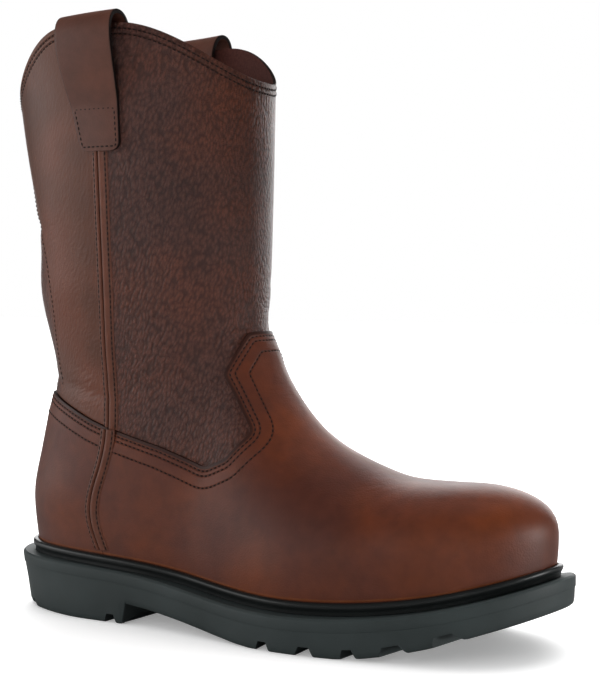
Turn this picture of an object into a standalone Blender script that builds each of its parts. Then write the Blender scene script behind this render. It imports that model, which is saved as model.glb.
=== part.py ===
"""Pull-on work boot for the right foot, standing empty on its sole.

Frame: metres, +X to the toe, +Y to the inner side of the foot, +Z up, floor at Z = 0.
Tables are in millimetres: along is measured from the back of the heel, across from the
heel-to-toe line (lateral is negative), height from the floor.
"""
import math

import bmesh
import bpy
import numpy as np
from mathutils import Matrix, Vector

MM = 0.001

# Driving sizes
SOLE_LENGTH = 312.0
GAP = 0.3             # clearance between neighbouring pieces
WALL = 2.0            # leather and lining of the upper
OVERLAY = 1.8         # leather of vamp and counter
STRIP = 1.3           # leather of the side strips
STRIP_WIDTH = 9.4
LOOP_LEATHER = 2.2
WELT_LEDGE = 8.0      # from the outsole's edge in to the vamp's face
WELT_HEIGHT = 6.3     # the welt above the outsole's flange
WELT_CLEARANCE = 0.8  # from the vamp's face, which is flat between its columns
FEATHER_RISE = 0.7    # the upper's lower edge above the flange
INSOLE = 4.0
INSOLE_CLEARANCE = 3.4   # from the upper's inner face
OUTSOLE_RIM = 1.4     # width and height of the flange's sloped rim
SIDE_DRAFT = 0.8      # how far the outsole's side draws in at half its height
TREAD_ROUND = 1.6     # height of the rounded corner between side and tread
TREAD_DRAFT = 3.4     # how far the tread's face is set in from the edge
TREAD_DEPTH = 4.5     # of the edge notches
CHANNEL_DEPTH = 3.8
BAR_DEPTH = 3.3
NOTCH_TAPER = 0.4     # width of a notch's roof over its mouth
CHANNEL_TAPER = 0.68
COLLAR_PEAK = 304.4
COLLAR_BACK = 270.0   # dips at back and front
COLLAR_FRONT = 277.0
COLLAR_PEAK_TURN = math.radians(104.0)   # from the back, on either side, to the collar's peak
COLLAR_FRONT_TURN = math.radians(190.0)  # from the back, by the lateral side, to the front dip
BACK_PEAK_TURN = math.radians(88.0)      # from the back to the end of the back dip
BACK_SHARPNESS = 4.0                     # of the collar's dips
FRONT_SHARPNESS = {"lateral": 3.0, "medial": 2.3}

# Plan of the outsole: along, lateral, medial
OUTLINE = [
    (3, -16.0, 16.0),
    (14, -29.5, 30.0),
    (40, -39.5, 39.0),
    (78, -42.0, 38.0),
    (115, -44.5, 36.5),
    (150, -50.5, 40.0),
    (184, -57.0, 48.5),
    (215, -56.0, 55.5),
    (245, -51.0, 57.5),
    (275, -42.3, 52.0),
    (298, -25.7, 37.0),
]
TOE_TIP_ACROSS = 7.0

# Side of the outsole: along, height of its flange
FLANGE = [
    (0, 30.6), (25, 29.4), (50, 28.7), (75, 27.7), (100, 26.0), (150, 19.8), (200, 18.0), (245, 21.8),
    (290, 31.8), (312, 38.5),
]

# Ground side of the outsole: along, height of the tread's face
TREAD = [
    (0, 2.4), (4, 0.7), (9, 0), (88, 0), (90, 10.5), (104, 9.2), (125, 6.2), (148, 2.6), (162, 0.7),
    (172, 0), (218, 0), (232, 1.3), (246, 3.8), (262, 7.8), (280, 13.4), (298, 19.2), (312, 24.0),
]

# Ridge of the foot: along, height of the upper's top
INSTEP = [
    (0, 118), (46, 130), (90, 144), (130, 149), (146, 143.0), (156, 128.0), (168, 110.0), (184, 95.2),
    (202, 85.2), (222, 78.8), (242, 75.8), (262, 76.2), (320, 76.2),
]

# Ridge of the foot in plan, over the inner side of the instep: along, across
SPINE = [(46, -0.5), (90, 0.0), (130, 1.5), (170, 3.5), (210, 4.5), (258, 4.0)]

# Fullness of the foot's sections: along, power of the superellipse
FULLNESS = [(0, 2.3), (100, 2.1), (160, 2.0), (230, 2.25), (262, 2.5), (330, 2.5)]

# Shaft: height, back, front, half width
SHAFT = [
    (20, 30.0, 136.0, 30.0),
    (60, 27.0, 140.0, 33.0),
    (117, 21.8, 144.0, 36.5),
    (134, 20.6, 145.1, 38.4),
    (155, 15.6, 146.0, 41.0),
    (172, 13.7, 146.0, 43.2),
    (190, 13.8, 146.0, 45.5),
    (212, 12.0, 146.2, 47.9),
    (240, 7.0, 146.5, 50.5),
    (290, 0.0, 147.4, 54.0),
    (325, -5.0, 149.0, 56.0),
]
SHAFT_FULLNESS = 2.15

FOOT_INSET = WELT_LEDGE + OVERLAY + GAP   # outsole's edge to the upper's face
HEEL_CENTRE, TOE_CENTRE = SPINE[0][0], SPINE[-1][0]
WIDEST_RISE = 20.0                        # flange to the foot's widest level
TUCK = 0.045                              # how far the foot draws in below that level
ANKLE_BLEND = 14.0                        # radius that joins foot and shaft

# Side seam, covered by the strips: height, along
SEAM = [
    (20, 77.0), (37, 71.4), (49, 66.8), (62, 66.5), (78, 71.8), (91, 75.6), (101, 76.8), (125, 76.9),
    (146, 77.7), (166, 78.9), (196, 80.1), (222, 81.2), (245, 82.1),
]

# Top edge of the vamp in side view, seam to instep: along, height, corner radius
VAMP_EDGE = [
    (76.6, 99.8, 0.0), (108.0, 91.6, 40.0), (134.5, 82.6, 8.0), (146.5, 87.6, 8.0), (158.2, 100.6, 4.0),
    (139.0, 128.3, 4.0), (145.4, 150.0, 3.0), (340.0, 150.0, 0.0),
]
# Top edge of the counter, seam to back
COUNTER_EDGE = [
    (76.6, 99.8, 0.0), (64.0, 103.7, 20.0), (46.0, 110.4, 40.0), (30.0, 116.0, 20.0), (-40.0, 120.0, 0.0),
]

# Pull loop, patch over the collar to the inside: height, off the upper's face, half width
LOOP = [
    (241, 0.0, 11.4), (246, 0.0, 12.0), (255, 0.0, 12.9), (263, 0.3, 13.7), (269, 2.0, 14.4),
    (278, 4.9, 15.2), (288, 7.6, 15.8), (297.5, 8.8, 16.0), (304.3, 7.3, 16.0), (307, 3.6, 15.9),
    (306.2, -1.6, 15.8), (301.5, -5.6, 15.7), (293, -7.4, 15.5), (283, -6.4, 15.2), (273, -4.7, 14.8),
    (262, -4.4, 14.2), (250, -4.4, 13.8),
]
LOOP_ALONG = {"lateral": 81.4, "medial": 70.6}
LOOP_FREE = (263.0, 300.0)   # heights between which a loop takes on its own tilt and rise
LOOP_TILT = 0.06             # rise of a loop's top towards the front
LOOP_RISE = {"lateral": 0.0, "medial": 2.8}   # of a loop's top over the table
PATCH_LEAN = 2.0             # how far a patch's lower end lies forward

# Tread notches in the sole's edges: along, width at the tread's face, reach in from the edge,
# turn in degrees
EDGE_NOTCHES = [
    (20, 7, 17, -28), (80, 8, 20, 0), (181, 8, 21, -8), (204, 10, 24, -4), (226, 8, 24, 4), (247, 13, 23, 14),
    (271, 10, 20, 28),
]
# Channels between the edge lugs and the middle ones: from, to, inset from the edge, width
CHANNELS = [(20, 80, 24, 5), (173, 286, 27, 5)]
# Bars across the middle lugs: along, width, half length
CROSS_BARS = [(46, 5, 17), (192, 5, 27), (215, 5, 30), (239, 5, 29), (264, 5, 23)]

# Welt's section: out from the vamp's face, up from the flange
WELT_SECTION = [
    (2.0, GAP), (2.02, 0.8), (2.08, 1.6), (2.2, 2.2), (2.5, 2.7), (2.85, 3.2), (3.1, 3.9), (3.15, 4.6),
    (3.0, 5.3), (2.6, 5.85), (2.0, 6.15), (1.4, WELT_HEIGHT),
]

# Ends of the side strips, back edge and front edge: the joint strip stops short of the vamp's top edge,
# the stay starts above it
JOINT_STRIP_LOW, JOINT_STRIP_HIGH = (0.4, -0.3), (1.1, -3.0)
STAY_LOW = (3.9, 0.5)
STAY_TO_LOOP = 1.0

# How the upper's columns leave the sole and reach the collar: heel, and what the toe adds
COLUMN_RISE = (60.0, 75.0)
COLUMN_FALL = (120.0, 120.0)
COLLAR_LEVEL = 290.0     # where the shaft's section gives the collar's plan
COLUMNS, ROWS = 40, 22   # faces round and up the upper


def natural_spline(table, column=1):
    """Smooth function through a table's rows, from column 0 to the given column."""
    knots = np.array([row[0] for row in table], float)
    values = np.array([row[column] for row in table], float)
    step = np.diff(knots)
    slope = np.diff(values) / step
    count = len(knots)
    system = np.eye(count)
    right = np.zeros(count)
    for k in range(1, count - 1):
        system[k, k - 1:k + 2] = step[k - 1], 2 * (step[k - 1] + step[k]), step[k]
        right[k] = 6 * (slope[k] - slope[k - 1])
    bend = np.linalg.solve(system, right)

    def value(at):
        at = np.clip(np.asarray(at, float), knots[0], knots[-1])
        k = np.clip(np.searchsorted(knots, at, side="right") - 1, 0, count - 2)
        h = step[k]
        a = (knots[k + 1] - at) / h
        b = 1 - a
        cubic = ((a**3 - a) * bend[k] + (b**3 - b) * bend[k + 1]) * h**2 / 6
        return a * values[k] + b * values[k + 1] + cubic

    return value


def closed_spline(points, count):
    """Smooth closed curve through points, as count samples at even steps of its parameter."""
    points = np.asarray(points, float)
    n = len(points)
    h = np.linalg.norm(np.roll(points, -1, 0) - points, axis=1)
    slope = (np.roll(points, -1, 0) - points) / h[:, None]
    system = np.zeros((n, n))
    for k in range(n):
        system[k, k - 1] += h[k - 1]
        system[k, k] += 2 * (h[k - 1] + h[k])
        system[k, (k + 1) % n] += h[k]
    bend = np.linalg.solve(system, 6 * (slope - np.roll(slope, 1, 0)))
    knots = np.concatenate([[0], np.cumsum(h)])
    at = np.linspace(0, knots[-1], count, endpoint=False)
    k = np.searchsorted(knots, at, side="right") - 1
    a = ((knots[k + 1] - at) / h[k])[:, None]
    b = 1 - a
    following = (k + 1) % n
    cubic = ((a**3 - a) * bend[k] + (b**3 - b) * bend[following]) * h[k][:, None]**2 / 6
    return a * points[k] + b * points[following] + cubic


def plan_outline(count=1440):
    """The outsole's edge from above, from the heel along the lateral side to the toe and back."""
    lateral = [(along, outer) for along, outer, inner in OUTLINE]
    medial = [(along, inner) for along, outer, inner in reversed(OUTLINE)]
    return closed_spline([(0, 0)] + lateral + [(SOLE_LENGTH, TOE_TIP_ACROSS)] + medial, count)


def outward(points):
    """Unit normals of a closed plan curve that runs from heel by the lateral side to the toe."""
    tangent = np.roll(points, -1, 0) - np.roll(points, 1, 0)
    normal = np.column_stack([tangent[:, 1], -tangent[:, 0]])
    return normal / np.linalg.norm(normal, axis=1)[:, None]


EDGE = plan_outline()
EDGE_OUT = outward(EDGE)
FOOT_PLAN = EDGE - FOOT_INSET * EDGE_OUT

flange_height = natural_spline(FLANGE)
instep_height = natural_spline(INSTEP)
spine_across = natural_spline(SPINE)
fullness = natural_spline(FULLNESS)
shaft_back, shaft_front, shaft_half = (natural_spline(SHAFT, column) for column in (1, 2, 3))
seam_along = natural_spline(SEAM)


def tread_height(along):
    rows = np.array(TREAD, float)
    return np.interp(along, rows[:, 0], rows[:, 1])


def tread_slope(along, span=3.0):
    """Angle of the tread's face at a station."""
    return math.atan(float(tread_height(along + span) - tread_height(along - span)) / (2 * span))


def plan_side(lateral):
    """Rows of the foot's plan on one side, in order along the boot."""
    side = FOOT_PLAN[:len(FOOT_PLAN) // 2] if lateral else FOOT_PLAN[len(FOOT_PLAN) // 2:]
    return side[np.argsort(side[:, 0])]


LATERAL, MEDIAL = plan_side(True), plan_side(False)


def lateral_across(along):
    return np.interp(along, LATERAL[:, 0], LATERAL[:, 1])


def medial_across(along):
    return np.interp(along, MEDIAL[:, 0], MEDIAL[:, 1])


def polar_plan(centre):
    """Angle and radius of the foot's plan about a point of the spine."""
    ray = FOOT_PLAN - (centre, float(spine_across(centre)))
    angle = np.arctan2(ray[:, 1], ray[:, 0])
    order = np.argsort(angle)
    angle, radius = angle[order], np.hypot(ray[:, 0], ray[:, 1])[order]
    turn = 2 * math.pi
    return np.concatenate([angle - turn, angle, angle + turn]), np.tile(radius, 3)


TOE_POLAR, HEEL_POLAR = polar_plan(TOE_CENTRE), polar_plan(HEEL_CENTRE)


def share_of_plan(x, y):
    """0 on the foot's spine, 1 on its plan outline."""
    on_spine = np.clip(x, HEEL_CENTRE, TOE_CENTRE)
    centre = spine_across(on_spine)
    along, across = x - on_spine, y - centre
    angle = np.arctan2(across, along)
    reach = np.where(across < 0, centre - lateral_across(x), medial_across(x) - centre)
    reach = np.where(x > TOE_CENTRE, np.interp(angle, *TOE_POLAR), reach)
    reach = np.where(x < HEEL_CENTRE, np.interp(angle, *HEEL_POLAR), reach)
    return np.hypot(along, across) / reach


def foot_field(x, y, z):
    """Below 0 inside the foot, above 0 outside."""
    on_boot = np.clip(x, 0, SOLE_LENGTH)
    widest = flange_height(on_boot) + WIDEST_RISE
    rise = np.clip((z - widest) / (instep_height(on_boot) - widest), 0, None)
    below = np.clip((widest - z) / WIDEST_RISE, 0, None)
    power = fullness(on_boot)
    return (share_of_plan(x, y)**power + rise**power)**(1 / power) - 1 + TUCK * below**2


def shaft_field(x, y, z):
    """Below 0 inside the shaft, above 0 outside."""
    back, front = shaft_back(z), shaft_front(z)
    along = np.abs((x - (back + front) / 2) / ((front - back) / 2))
    across = np.abs(y / shaft_half(z))
    return (along**SHAFT_FULLNESS + across**SHAFT_FULLNESS)**(1 / SHAFT_FULLNESS) - 1


def slopes(field, points, step):
    """Gradient of a field of points by central differences."""
    axes = np.eye(3) * step
    return np.stack([(field(points + axis) - field(points - axis)) / (2 * step) for axis in axes], -1)


FIELD_REACH = (-60.0, 200.0)   # distances beyond these are cut off


def distance_to(field, points):
    """First-order distance in millimetres from points to a field's zero surface."""
    def at(p):
        return field(p[..., 0], p[..., 1], p[..., 2])
    steepness = np.linalg.norm(slopes(at, points, 0.05), axis=-1)
    return np.clip(at(points) / np.maximum(steepness, 1e-4), *FIELD_REACH)


def upper_form(points):
    """Distance from points to the upper's outer face: foot and shaft, blended at the ankle."""
    foot = distance_to(foot_field, points)
    shaft = distance_to(shaft_field, points)
    share = np.clip(0.5 + 0.5 * (shaft - foot) / ANKLE_BLEND, 0, 1)
    return shaft * (1 - share) + foot * share - ANKLE_BLEND * share * (1 - share)


def settle(points, level, free=(1, 1, 1), steps=30):
    """Moves points, along the free axes, to the surface that lies level outside the upper's face."""
    points = points.copy()
    for _ in range(steps):
        slope = slopes(upper_form, points, 0.3) * free
        miss = np.clip(upper_form(points) - level, -6, 6)
        points -= (miss / np.maximum((slope**2).sum(-1), 0.05))[..., None] * slope
    return points


def face_normals(points):
    slope = slopes(upper_form, points, 0.3)
    return slope / np.linalg.norm(slope, axis=-1)[..., None]


def collar_height(turn):
    """Height of the collar's edge, by the turn from the back: dips at back and front, peaks at the sides."""
    turn = np.asarray(turn, float)
    lateral = turn < COLLAR_FRONT_TURN
    from_back = np.where(lateral, turn, 2 * math.pi - turn)
    from_front = np.abs(turn - COLLAR_FRONT_TURN)
    front_span = np.where(lateral, COLLAR_FRONT_TURN, 2 * math.pi - COLLAR_FRONT_TURN) - COLLAR_PEAK_TURN
    behind = from_back < COLLAR_PEAK_TURN
    share = np.where(behind, np.minimum(from_back / BACK_PEAK_TURN, 1), from_front / front_span)
    dip = np.where(behind, COLLAR_BACK, COLLAR_FRONT)
    front = np.where(lateral, FRONT_SHARPNESS["lateral"], FRONT_SHARPNESS["medial"])
    return dip + (COLLAR_PEAK - dip) * np.sin(share * math.pi / 2)**np.where(behind, BACK_SHARPNESS, front)


def even_samples(curve, shares):
    """Points of an open plan curve at shares of its length."""
    lengths = np.concatenate([[0], np.cumsum(np.linalg.norm(np.diff(curve, axis=0), axis=1))])
    return np.column_stack([np.interp(shares * lengths[-1], lengths, curve[:, k]) for k in (0, 1)])


def feather_ring(turn):
    """Points on the foot's plan, by the turn from the heel along the lateral side to the toe and back."""
    toe = len(FOOT_PLAN) // 2
    lateral, medial = FOOT_PLAN[:toe + 1], np.vstack([FOOT_PLAN[toe:], FOOT_PLAN[:1]])
    share = turn / math.pi
    near = even_samples(lateral, np.clip(share, 0, 1))
    far = even_samples(medial, np.clip(share - 1, 0, 1))
    return np.where((share <= 1)[:, None], near, far)


def free_axes(grid):
    """1 where a grid's points may settle: the rings at the sole and the collar keep their height."""
    free = np.ones_like(grid)
    free[0, :, 2] = 0
    free[-1, :, 2] = 0
    return free


def fitted_skin(columns=COLUMNS, rows=ROWS, rounds=14, pull=0.6):
    """Grid of points, sole to collar, on the upper's outer face, evened out over the face."""
    turn = np.linspace(0, 2 * math.pi, columns, endpoint=False)
    plan = feather_ring(turn)
    low = np.column_stack([plan, flange_height(plan[:, 0]) + FEATHER_RISE])
    back, front, half = (side(COLLAR_LEVEL) for side in (shaft_back, shaft_front, shaft_half))
    high = np.column_stack([(back + front) / 2 - (front - back) / 2 * np.cos(turn), -half * np.sin(turn),
                            collar_height(turn)])
    forward = (1 - np.cos(turn)) / 2
    zero = np.zeros(columns)
    rise = low + np.column_stack([zero, zero, COLUMN_RISE[0] + COLUMN_RISE[1] * forward**3])
    fall = high - np.column_stack([zero, zero, COLUMN_FALL[0] + COLUMN_FALL[1] * forward**2])
    v = np.linspace(0, 1, rows + 1)[:, None, None]
    grid = (1 - v)**3 * low + 3 * v * (1 - v)**2 * rise + 3 * v**2 * (1 - v) * fall + v**3 * high
    free = free_axes(grid)
    grid = settle(grid, 0, free)
    for _ in range(rounds):
        inner = grid[1:-1]
        around = np.roll(inner, 1, 1) + np.roll(inner, -1, 1) + grid[:-2] + grid[2:]
        grid[1:-1] = (1 - pull) * inner + pull * around / 4
        grid = settle(grid, 0, free, steps=4)
    return grid


BARE = fitted_skin()
BARE_NORMALS = face_normals(BARE)


def skin(level):
    """The upper's grid, moved out to the surface that lies level outside its face."""
    return settle(BARE + level * BARE_NORMALS * free_axes(BARE), level, free_axes(BARE))


def placed(points):
    """Millimetre points from the heel to the part's frame, in metres."""
    return (np.asarray(points, float) - (SOLE_LENGTH / 2, 0, 0)) * MM


def new_object(name, bm, collection, material=None):
    bmesh.ops.recalc_face_normals(bm, faces=bm.faces)
    mesh = bpy.data.meshes.new(name)
    bm.to_mesh(mesh)
    bm.free()
    obj = bpy.data.objects.new(name, mesh)
    collection.objects.link(obj)
    if material:
        mesh.materials.append(material)
        mesh.shade_smooth()
        mesh.set_sharp_from_angle(angle=math.radians(40))
    return obj


def loft(rings, closed_rings=True, closed_ends=False, joined_ends=False):
    """Mesh of triangles through rings of points, each ring with the same count."""
    bm = bmesh.new()
    rows = [[bm.verts.new(point) for point in placed(ring)] for ring in rings]
    pairs = list(zip(rows, rows[1:]))
    if joined_ends:
        pairs.append((rows[-1], rows[0]))
    for low, high in pairs:
        count = len(low)
        for k in range(count if closed_rings else count - 1):
            after = (k + 1) % count
            bm.faces.new((low[k], low[after], high[after]))
            bm.faces.new((low[k], high[after], high[k]))
    if closed_ends:
        bm.faces.new(rows[0])
        bm.faces.new(reversed(rows[-1]))
    return bm


def solidified(obj, thickness, side):
    modifier = obj.modifiers.new("Leather", "SOLIDIFY")
    modifier.thickness = thickness * MM
    modifier.offset = side
    modifier.use_even_offset = True
    return obj


def cut(obj, cutter, operation):
    modifier = obj.modifiers.new(operation.title(), "BOOLEAN")
    modifier.operation = operation
    modifier.solver = "EXACT"
    modifier.object = cutter
    return obj


def as_cutter(obj):
    obj.hide_render = True
    obj.display_type = "WIRE"
    return obj


def rounded(table, arc_points=5, most=0.48):
    """Side-view points of an edge: each corner is turned by its radius, within most of each side."""
    corners = [Vector(row[:2]) for row in table]
    points = [corners[0]]
    for before, corner, after, row in zip(corners, corners[1:], corners[2:], table[1:]):
        inward, onward = (before - corner).normalized(), (after - corner).normalized()
        half = inward.angle(onward) / 2
        shortest = min((before - corner).length, (after - corner).length)
        reach = min(row[2] / math.tan(half), most * shortest)
        start, end = corner + inward * reach, corner + onward * reach
        for k in range(arc_points):
            t = k / (arc_points - 1)
            points.append(start * (1 - t)**2 + corner * 2 * t * (1 - t) + end * t**2)
    points.append(corners[-1])
    return [tuple(point) for point in points]


def side_prism(name, outline, across, cutters):
    """Cutter with an outline in side view (along, height), from one side of the boot to the other."""
    bm = bmesh.new()
    near, far = across
    face = bm.faces.new([bm.verts.new(placed((along, near, height))) for along, height in outline])
    swept = bmesh.ops.extrude_face_region(bm, geom=[face])
    moved = [v for v in swept["geom"] if isinstance(v, bmesh.types.BMVert)]
    bmesh.ops.translate(bm, verts=moved, vec=(0, (far - near) * MM, 0))
    return as_cutter(new_object(name, bm, cutters))


def finish(name, colour, roughness):
    material = bpy.data.materials.new(name)
    material.use_nodes = True
    shader = material.node_tree.nodes["Principled BSDF"]
    shader.inputs["Base Color"].default_value = (*colour, 1)
    shader.inputs["Roughness"].default_value = roughness
    shader.inputs["Metallic"].default_value = 0
    return material


def make_upper(parts, material):
    """Foot and shaft in one wall, open at the collar and over the insole."""
    return solidified(new_object("upper", loft(skin(0)), parts, material), WALL, -1)


def overlay(name, level, leather, outline, across, parts, cutters, material):
    """Piece of leather on the upper: two larger forms of the upper with the piece's outline cut out."""
    obj = solidified(new_object(name, loft(skin(level)), parts, material), leather, 1)
    return cut(obj, side_prism(name + "_outline", outline, across, cutters), "INTERSECT")


BOTH_SIDES = (-90.0, 90.0)
SIDES = {"lateral": (-90.0, 0.0), "medial": (0.0, 90.0)}


SEAM_TOP = VAMP_EDGE[0][1]


def seam_line(low, high, shift, lean=0.0, count=12):
    """Side-view points up the side seam, shifted along the boot; above the vamp it may lean by the loop."""
    heights = np.linspace(low, high, count)
    leaning = lean * np.clip((heights - SEAM_TOP) / (LOOP[0][0] - SEAM_TOP), 0, 1)
    return [(float(x), float(z)) for x, z in zip(seam_along(heights) + shift + leaning, heights)]


def make_vamp(parts, cutters, material):
    edge = rounded(VAMP_EDGE)
    outline = seam_line(0, SEAM_TOP, GAP / 2) + edge[1:] + [(edge[-1][0], 0)]
    return overlay("vamp", GAP, OVERLAY, outline, BOTH_SIDES, parts, cutters, material)


def make_counter(parts, cutters, material):
    edge = rounded(COUNTER_EDGE)
    outline = seam_line(0, SEAM_TOP, -GAP / 2) + edge[1:] + [(edge[-1][0], 0)]
    return overlay("counter", GAP, OVERLAY, outline, BOTH_SIDES, parts, cutters, material)


def strip_outline(low, high, lean=0.0):
    """Side-view outline of a strip along the seam, between two edges of (back height, front height)."""
    half = STRIP_WIDTH / 2
    back = seam_line(low[0], high[0], -half, lean)
    front = seam_line(low[1], high[1], half, lean)
    return back + front[::-1]


def make_strips(parts, cutters, material):
    """On each side, a stay up the shaft's seam and a strip over the joint of vamp and counter."""
    welt_top = float(flange_height(seam_along(0))) + WELT_HEIGHT + 2 * GAP
    loop_edge = LOOP[0][0] - STAY_TO_LOOP
    joint = strip_outline([welt_top + end for end in JOINT_STRIP_LOW],
                          [SEAM_TOP + end for end in JOINT_STRIP_HIGH])
    over_vamp = GAP + OVERLAY + GAP
    for side, across in SIDES.items():
        lean = LOOP_ALONG[side] - LOOP_ALONG["lateral"]
        stay = strip_outline([SEAM_TOP + end for end in STAY_LOW], (loop_edge, loop_edge), lean)
        overlay("joint_strip_" + side, over_vamp, STRIP, joint, across, parts, cutters, material)
        overlay("side_stay_" + side, GAP, STRIP, stay, across, parts, cutters, material)


def make_pull_loop(side, parts, material, across_points=6):
    """Strap from its sewn patch on the shaft, off the face, over the collar and down inside."""
    sign = -1 if side == "lateral" else 1
    rings = []
    for height, off, half in LOOP:
        across = half * np.linspace(-1, 1, across_points)
        free = float(np.interp(height, LOOP_FREE, (0, 1)))
        top = height + free * (LOOP_RISE[side] + LOOP_TILT * across)
        level = np.minimum(top, COLLAR_PEAK)
        middle = LOOP_ALONG[side] + float(np.interp(height, (LOOP[0][0], LOOP_FREE[0]), (PATCH_LEAN, 0)))
        start = np.column_stack([middle + across, np.full(across_points, sign * 50.0), level])
        face = settle(start, 0, (0, 1, 0))
        face[:, 1] += sign * (off + GAP)
        face[:, 2] = top
        rings.append(face)
    strap = new_object("pull_loop_" + side, loft(rings, closed_rings=False), parts, material)
    return solidified(strap, LOOP_LEATHER, 1)


def paired_stations(inset, stations):
    """Lateral and medial plan points at stations along the boot, set in from the outsole's edge."""
    half = len(EDGE) // 2
    result = []
    for rows in (np.arange(0, half + 1), np.arange(len(EDGE) - 1, half - 1, -1)):
        index = np.interp(stations, EDGE[rows, 0], np.arange(len(rows)))
        plan = EDGE[rows] - inset * EDGE_OUT[rows]
        result.append(np.column_stack([np.interp(index, np.arange(len(rows)), plan[:, k]) for k in (0, 1)]))
    return result


def sole_stations():
    """Stations along the sole, close together at both ends and at the heel's breast."""
    turn = np.linspace(0.05, math.pi - 0.05, 38)
    even = SOLE_LENGTH / 2 * (1 - np.cos(turn))
    breast = [row[0] for row in TREAD if 80 < row[0] < 95]
    return np.array(sorted([x for x in even if min(abs(x - b) for b in breast) > 2.5] + breast))


def section_loft(profile, stations):
    """Solid through cross sections: profile rows are (inset from the edge, height function)."""
    sides = [(paired_stations(inset, stations), height) for inset, height in profile]
    rings = []
    for k in range(len(stations)):
        lateral = [(*plan[0][k], float(height(plan[0][k][0]))) for plan, height in sides]
        medial = [(*plan[1][k], float(height(plan[1][k][0]))) for plan, height in sides]
        rings.append(lateral + medial[::-1])
    return loft(rings, closed_ends=True)


def make_outsole(parts, cutters, material):
    """Moulded rubber unit: flange with a sloped rim, heel, arch, toe spring and lugs."""
    profile = [
        (OUTSOLE_RIM, flange_height),
        (0.0, lambda x: flange_height(x) - OUTSOLE_RIM),
        (SIDE_DRAFT, lambda x: 0.5 * (flange_height(x) + tread_height(x))),
        (TREAD_DRAFT - 0.75 * TREAD_ROUND, lambda x: tread_height(x) + TREAD_ROUND),
        (TREAD_DRAFT, tread_height),
    ]
    sole = new_object("outsole", section_loft(profile, sole_stations()), parts, material)
    cut(sole, notch_cutter(cutters), "DIFFERENCE")
    cut(sole, channel_cutter(cutters), "DIFFERENCE")
    cut(sole, cross_bar_cutter(cutters), "DIFFERENCE")
    return sole


def notch_cutter(cutters):
    """Tapered bars, half below the tread's face, that cut the lugs' notches into both of its edges."""
    bm = bmesh.new()
    for along, width, reach, turn in EDGE_NOTCHES:
        lateral, medial = paired_stations(0, np.array([along]))
        mouth = 2 * width / (1 + NOTCH_TAPER)
        for plan, sign in ((lateral[0], -1), (medial[0], 1)):
            bar = bmesh.ops.create_cube(bm, size=1)["verts"]
            for v in bar:
                taper = NOTCH_TAPER if v.co.z > 0 else 1.0
                v.co = Vector((v.co.x * mouth * taper, v.co.y * 2 * reach, v.co.z * 2 * TREAD_DEPTH))
            inner = Matrix.Rotation(math.radians(sign * turn), 4, "Z")
            tilt = Matrix.Rotation(-tread_slope(along), 4, "Y")
            spot = Vector((plan[0], plan[1], float(tread_height(along))))
            bmesh.ops.transform(bm, matrix=Matrix.Translation(spot) @ tilt @ inner, verts=bar)
    for v in bm.verts:
        v.co = placed(v.co)
    return as_cutter(new_object("notch_cutter", bm, cutters))


def channel_cutter(cutters):
    """Bars along both sides of heel and forefoot that part the edge lugs from the middle ones."""
    bm = bmesh.new()
    for start, end, inset, width in CHANNELS:
        stations = np.linspace(start, end, 8)
        for plan in paired_stations(inset, stations):
            face = tread_height(plan[:, 0])
            low, high = face - CHANNEL_DEPTH, face + CHANNEL_DEPTH
            narrow = CHANNEL_TAPER / 2
            corners = [(-0.5, low), (0.5, low), (narrow, high), (-narrow, high)]
            rings = np.stack([np.column_stack([plan[:, 0], plan[:, 1] + share * width, height])
                              for share, height in corners], 1)
            rows = [[bm.verts.new(point) for point in placed(ring)] for ring in rings]
            for a, b in zip(rows, rows[1:]):
                for k in range(4):
                    bm.faces.new((a[k], a[(k + 1) % 4], b[(k + 1) % 4], b[k]))
            bm.faces.new(rows[0])
            bm.faces.new(reversed(rows[-1]))
    return as_cutter(new_object("channel_cutter", bm, cutters))


def cross_bar_cutter(cutters):
    """Bars across the middle of heel and forefoot, from channel to channel."""
    bm = bmesh.new()
    for along, width, half in CROSS_BARS:
        lateral, medial = paired_stations(0, np.array([along]))
        spot = Vector((along, 0.5 * (lateral[0][1] + medial[0][1]), float(tread_height(along))))
        bar = bmesh.ops.create_cube(bm, size=1)["verts"]
        bmesh.ops.scale(bm, vec=(width, 2 * half, 2 * BAR_DEPTH), verts=bar)
        tilt = Matrix.Rotation(-tread_slope(along), 4, "Y")
        bmesh.ops.transform(bm, matrix=Matrix.Translation(spot) @ tilt, verts=bar)
    for v in bm.verts:
        v.co = placed(v.co)
    return as_cutter(new_object("cross_bar_cutter", bm, cutters))


def make_insole(parts, material):
    """Flat board inside the upper, on the outsole."""
    inset = FOOT_INSET + WALL + INSOLE_CLEARANCE
    stations = SOLE_LENGTH / 2 * (1 - np.cos(np.linspace(0.06, math.pi - 0.06, 22)))
    profile = [(inset, lambda x: flange_height(x) + GAP + INSOLE), (inset, lambda x: flange_height(x) + GAP)]
    return new_object("insole", section_loft(profile, stations), parts, material)


def make_welt(parts, material, samples=76):
    """Rubber bead and ledge round the foot, on the flange and against the vamp."""
    turn = np.linspace(0, 2 * math.pi, samples, endpoint=False)
    plan = feather_ring(turn)
    face = GAP + OVERLAY + WELT_CLEARANCE

    def on_flange(points, up):
        return np.column_stack([points, flange_height(points[:, 0]) + up])

    inner = [settle(on_flange(plan, up), face, (1, 1, 0)) for up in (WELT_HEIGHT, GAP)]
    foot = inner[1][:, :2]
    normal = outward(foot)
    rings = [on_flange(foot + out * normal, up) for out, up in WELT_SECTION]
    rings += [on_flange(ring[:, :2], up) for ring, up in zip(inner, (WELT_HEIGHT, GAP))]
    return new_object("welt", loft(rings, joined_ends=True), parts, material)


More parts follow.
